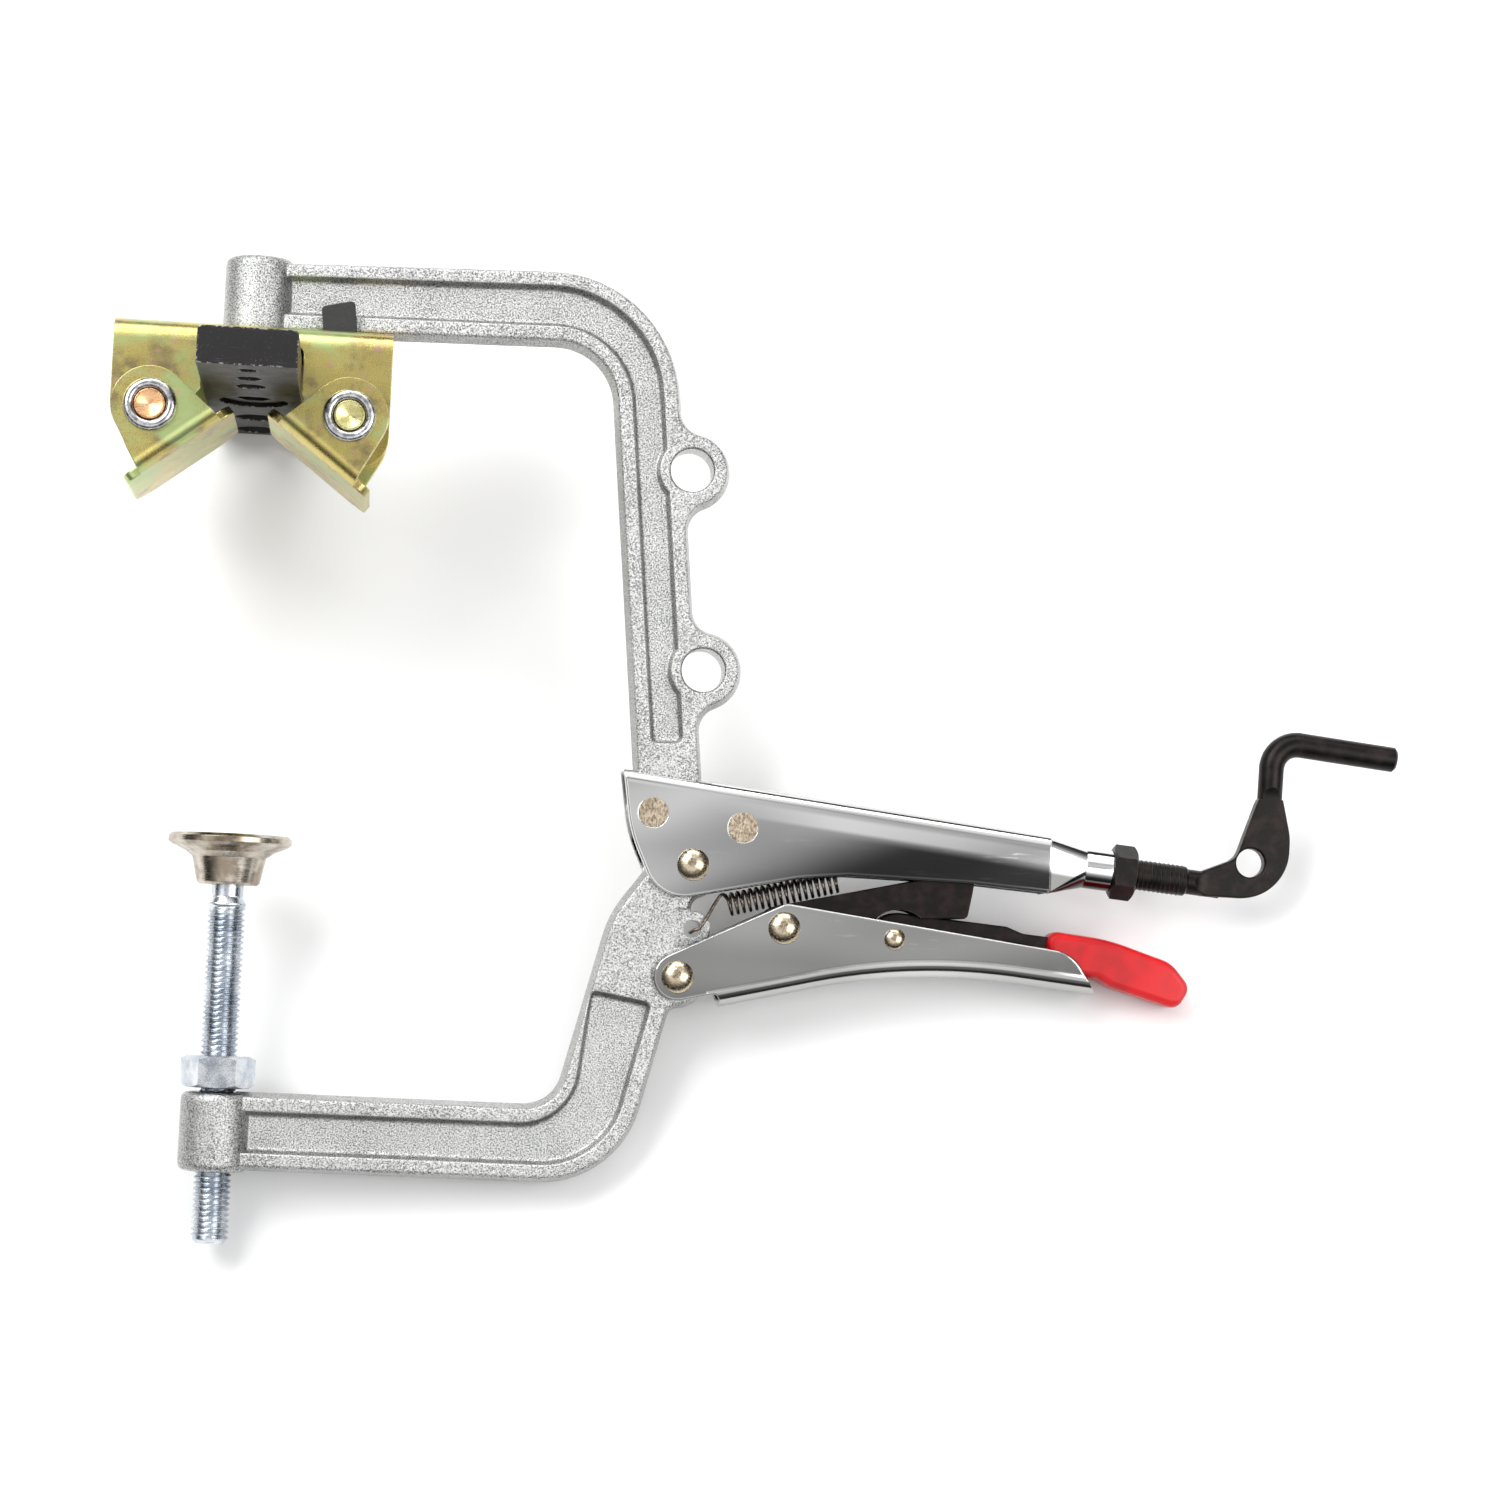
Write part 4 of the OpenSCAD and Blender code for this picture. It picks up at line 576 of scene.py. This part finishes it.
def makeFloor():
    low = cadBox[0]
    half = studio["floorSize"] / 2
    mesh = bpy.data.meshes.new("floor")
    corners = [(-half, -half), (half, -half), (half, half), (-half, half)]
    mesh.from_pydata([(x, y, low.z) for x, y in corners], [], [(0, 1, 2, 3)])
    floor = bpy.data.objects.new("floor", mesh)
    bpy.context.scene.collection.objects.link(floor)
    f = Finish("floorPale", studio["floorLow"], Roughness=0.8)
    f.set("Base Color", f.mix(f.noise(0.01, 2.0), studio["floorLow"], studio["floorHigh"]))
    mesh.materials.append(f.material)


def addLamp(name, power, size, place, target):
    lamp = bpy.data.lights.new(name, "AREA")
    lamp.shape, lamp.size, lamp.size_y, lamp.energy = "RECTANGLE", size[0], size[1], power
    thing = bpy.data.objects.new(name, lamp)
    thing.location = place
    thing.rotation_euler = (Vector(target) - Vector(place)).to_track_quat("-Z", "Y").to_euler()
    bpy.context.scene.collection.objects.link(thing)


# White to the camera and through glass; metal sees the levels overhead
def makeWorld():
    world = bpy.data.worlds.new("studio")
    world.use_nodes = True
    bpy.context.scene.world = world
    board = Board(world.node_tree)
    direction = board.add("ShaderNodeTexCoord", {}, {}, "Generated")
    height = board.add("ShaderNodeSeparateXYZ", {}, {0: direction}, "Z")
    stops = [(at, (level, level, level * studio["blueness"], 1)) for at, level in studio["overhead"]]
    mirrored = board.add("ShaderNodeValToRGB", {"stops": stops}, {0: height})
    seen = (studio["around"],) * 3 + (1,)
    white = (1, 1, 1, 1)
    rays = (("Is Glossy Ray", mirrored), ("Is Camera Ray", white), ("Is Transmission Ray", white))
    for ray, colour in rays:
        isRay = board.add("ShaderNodeLightPath", {}, {}, ray)
        seen = board.add("ShaderNodeMix", {"data_type": "RGBA"}, {0: isRay, 6: seen, 7: colour}, 2)
    board.tree.links.new(seen.socket, board.tree.nodes["Background"].inputs["Color"])


# The camera stands where the photograph was taken from
camera = {"place": (0.12031, -0.27747, 0.97686), "turn": (17.3044, -1.3659, 1.1330), "lens": 91.464,
          "film": 36.0}


def makeCamera():
    data = bpy.data.cameras.new("camera")
    data.lens, data.sensor_width, data.sensor_height = camera["lens"], camera["film"], camera["film"]
    data.sensor_fit = "HORIZONTAL"
    data.clip_start, data.clip_end = 0.05, 20
    thing = bpy.data.objects.new("camera", data)
    thing.location = camera["place"]
    thing.rotation_euler = [math.radians(a) for a in camera["turn"]]
    bpy.context.scene.collection.objects.link(thing)
    bpy.context.scene.camera = thing


middle = (cadBox[0] + cadBox[1]) / 2
makeFloor()
addLamp("keyLamp", studio["key"], (1.0, 0.7), middle + Vector((-0.7, 0.5, 1.1)), middle)
addLamp("fillLamp", studio["fill"], (0.9, 0.9), middle + Vector((0.9, -0.3, 1.0)), middle)
addLamp("rimLamp", studio["rim"], (1.2, 0.4), middle + Vector((0.1, 1.1, 0.7)), middle)
makeWorld()
makeCamera()
bpy.context.scene.view_settings.view_transform = "Standard"
print("studio set")
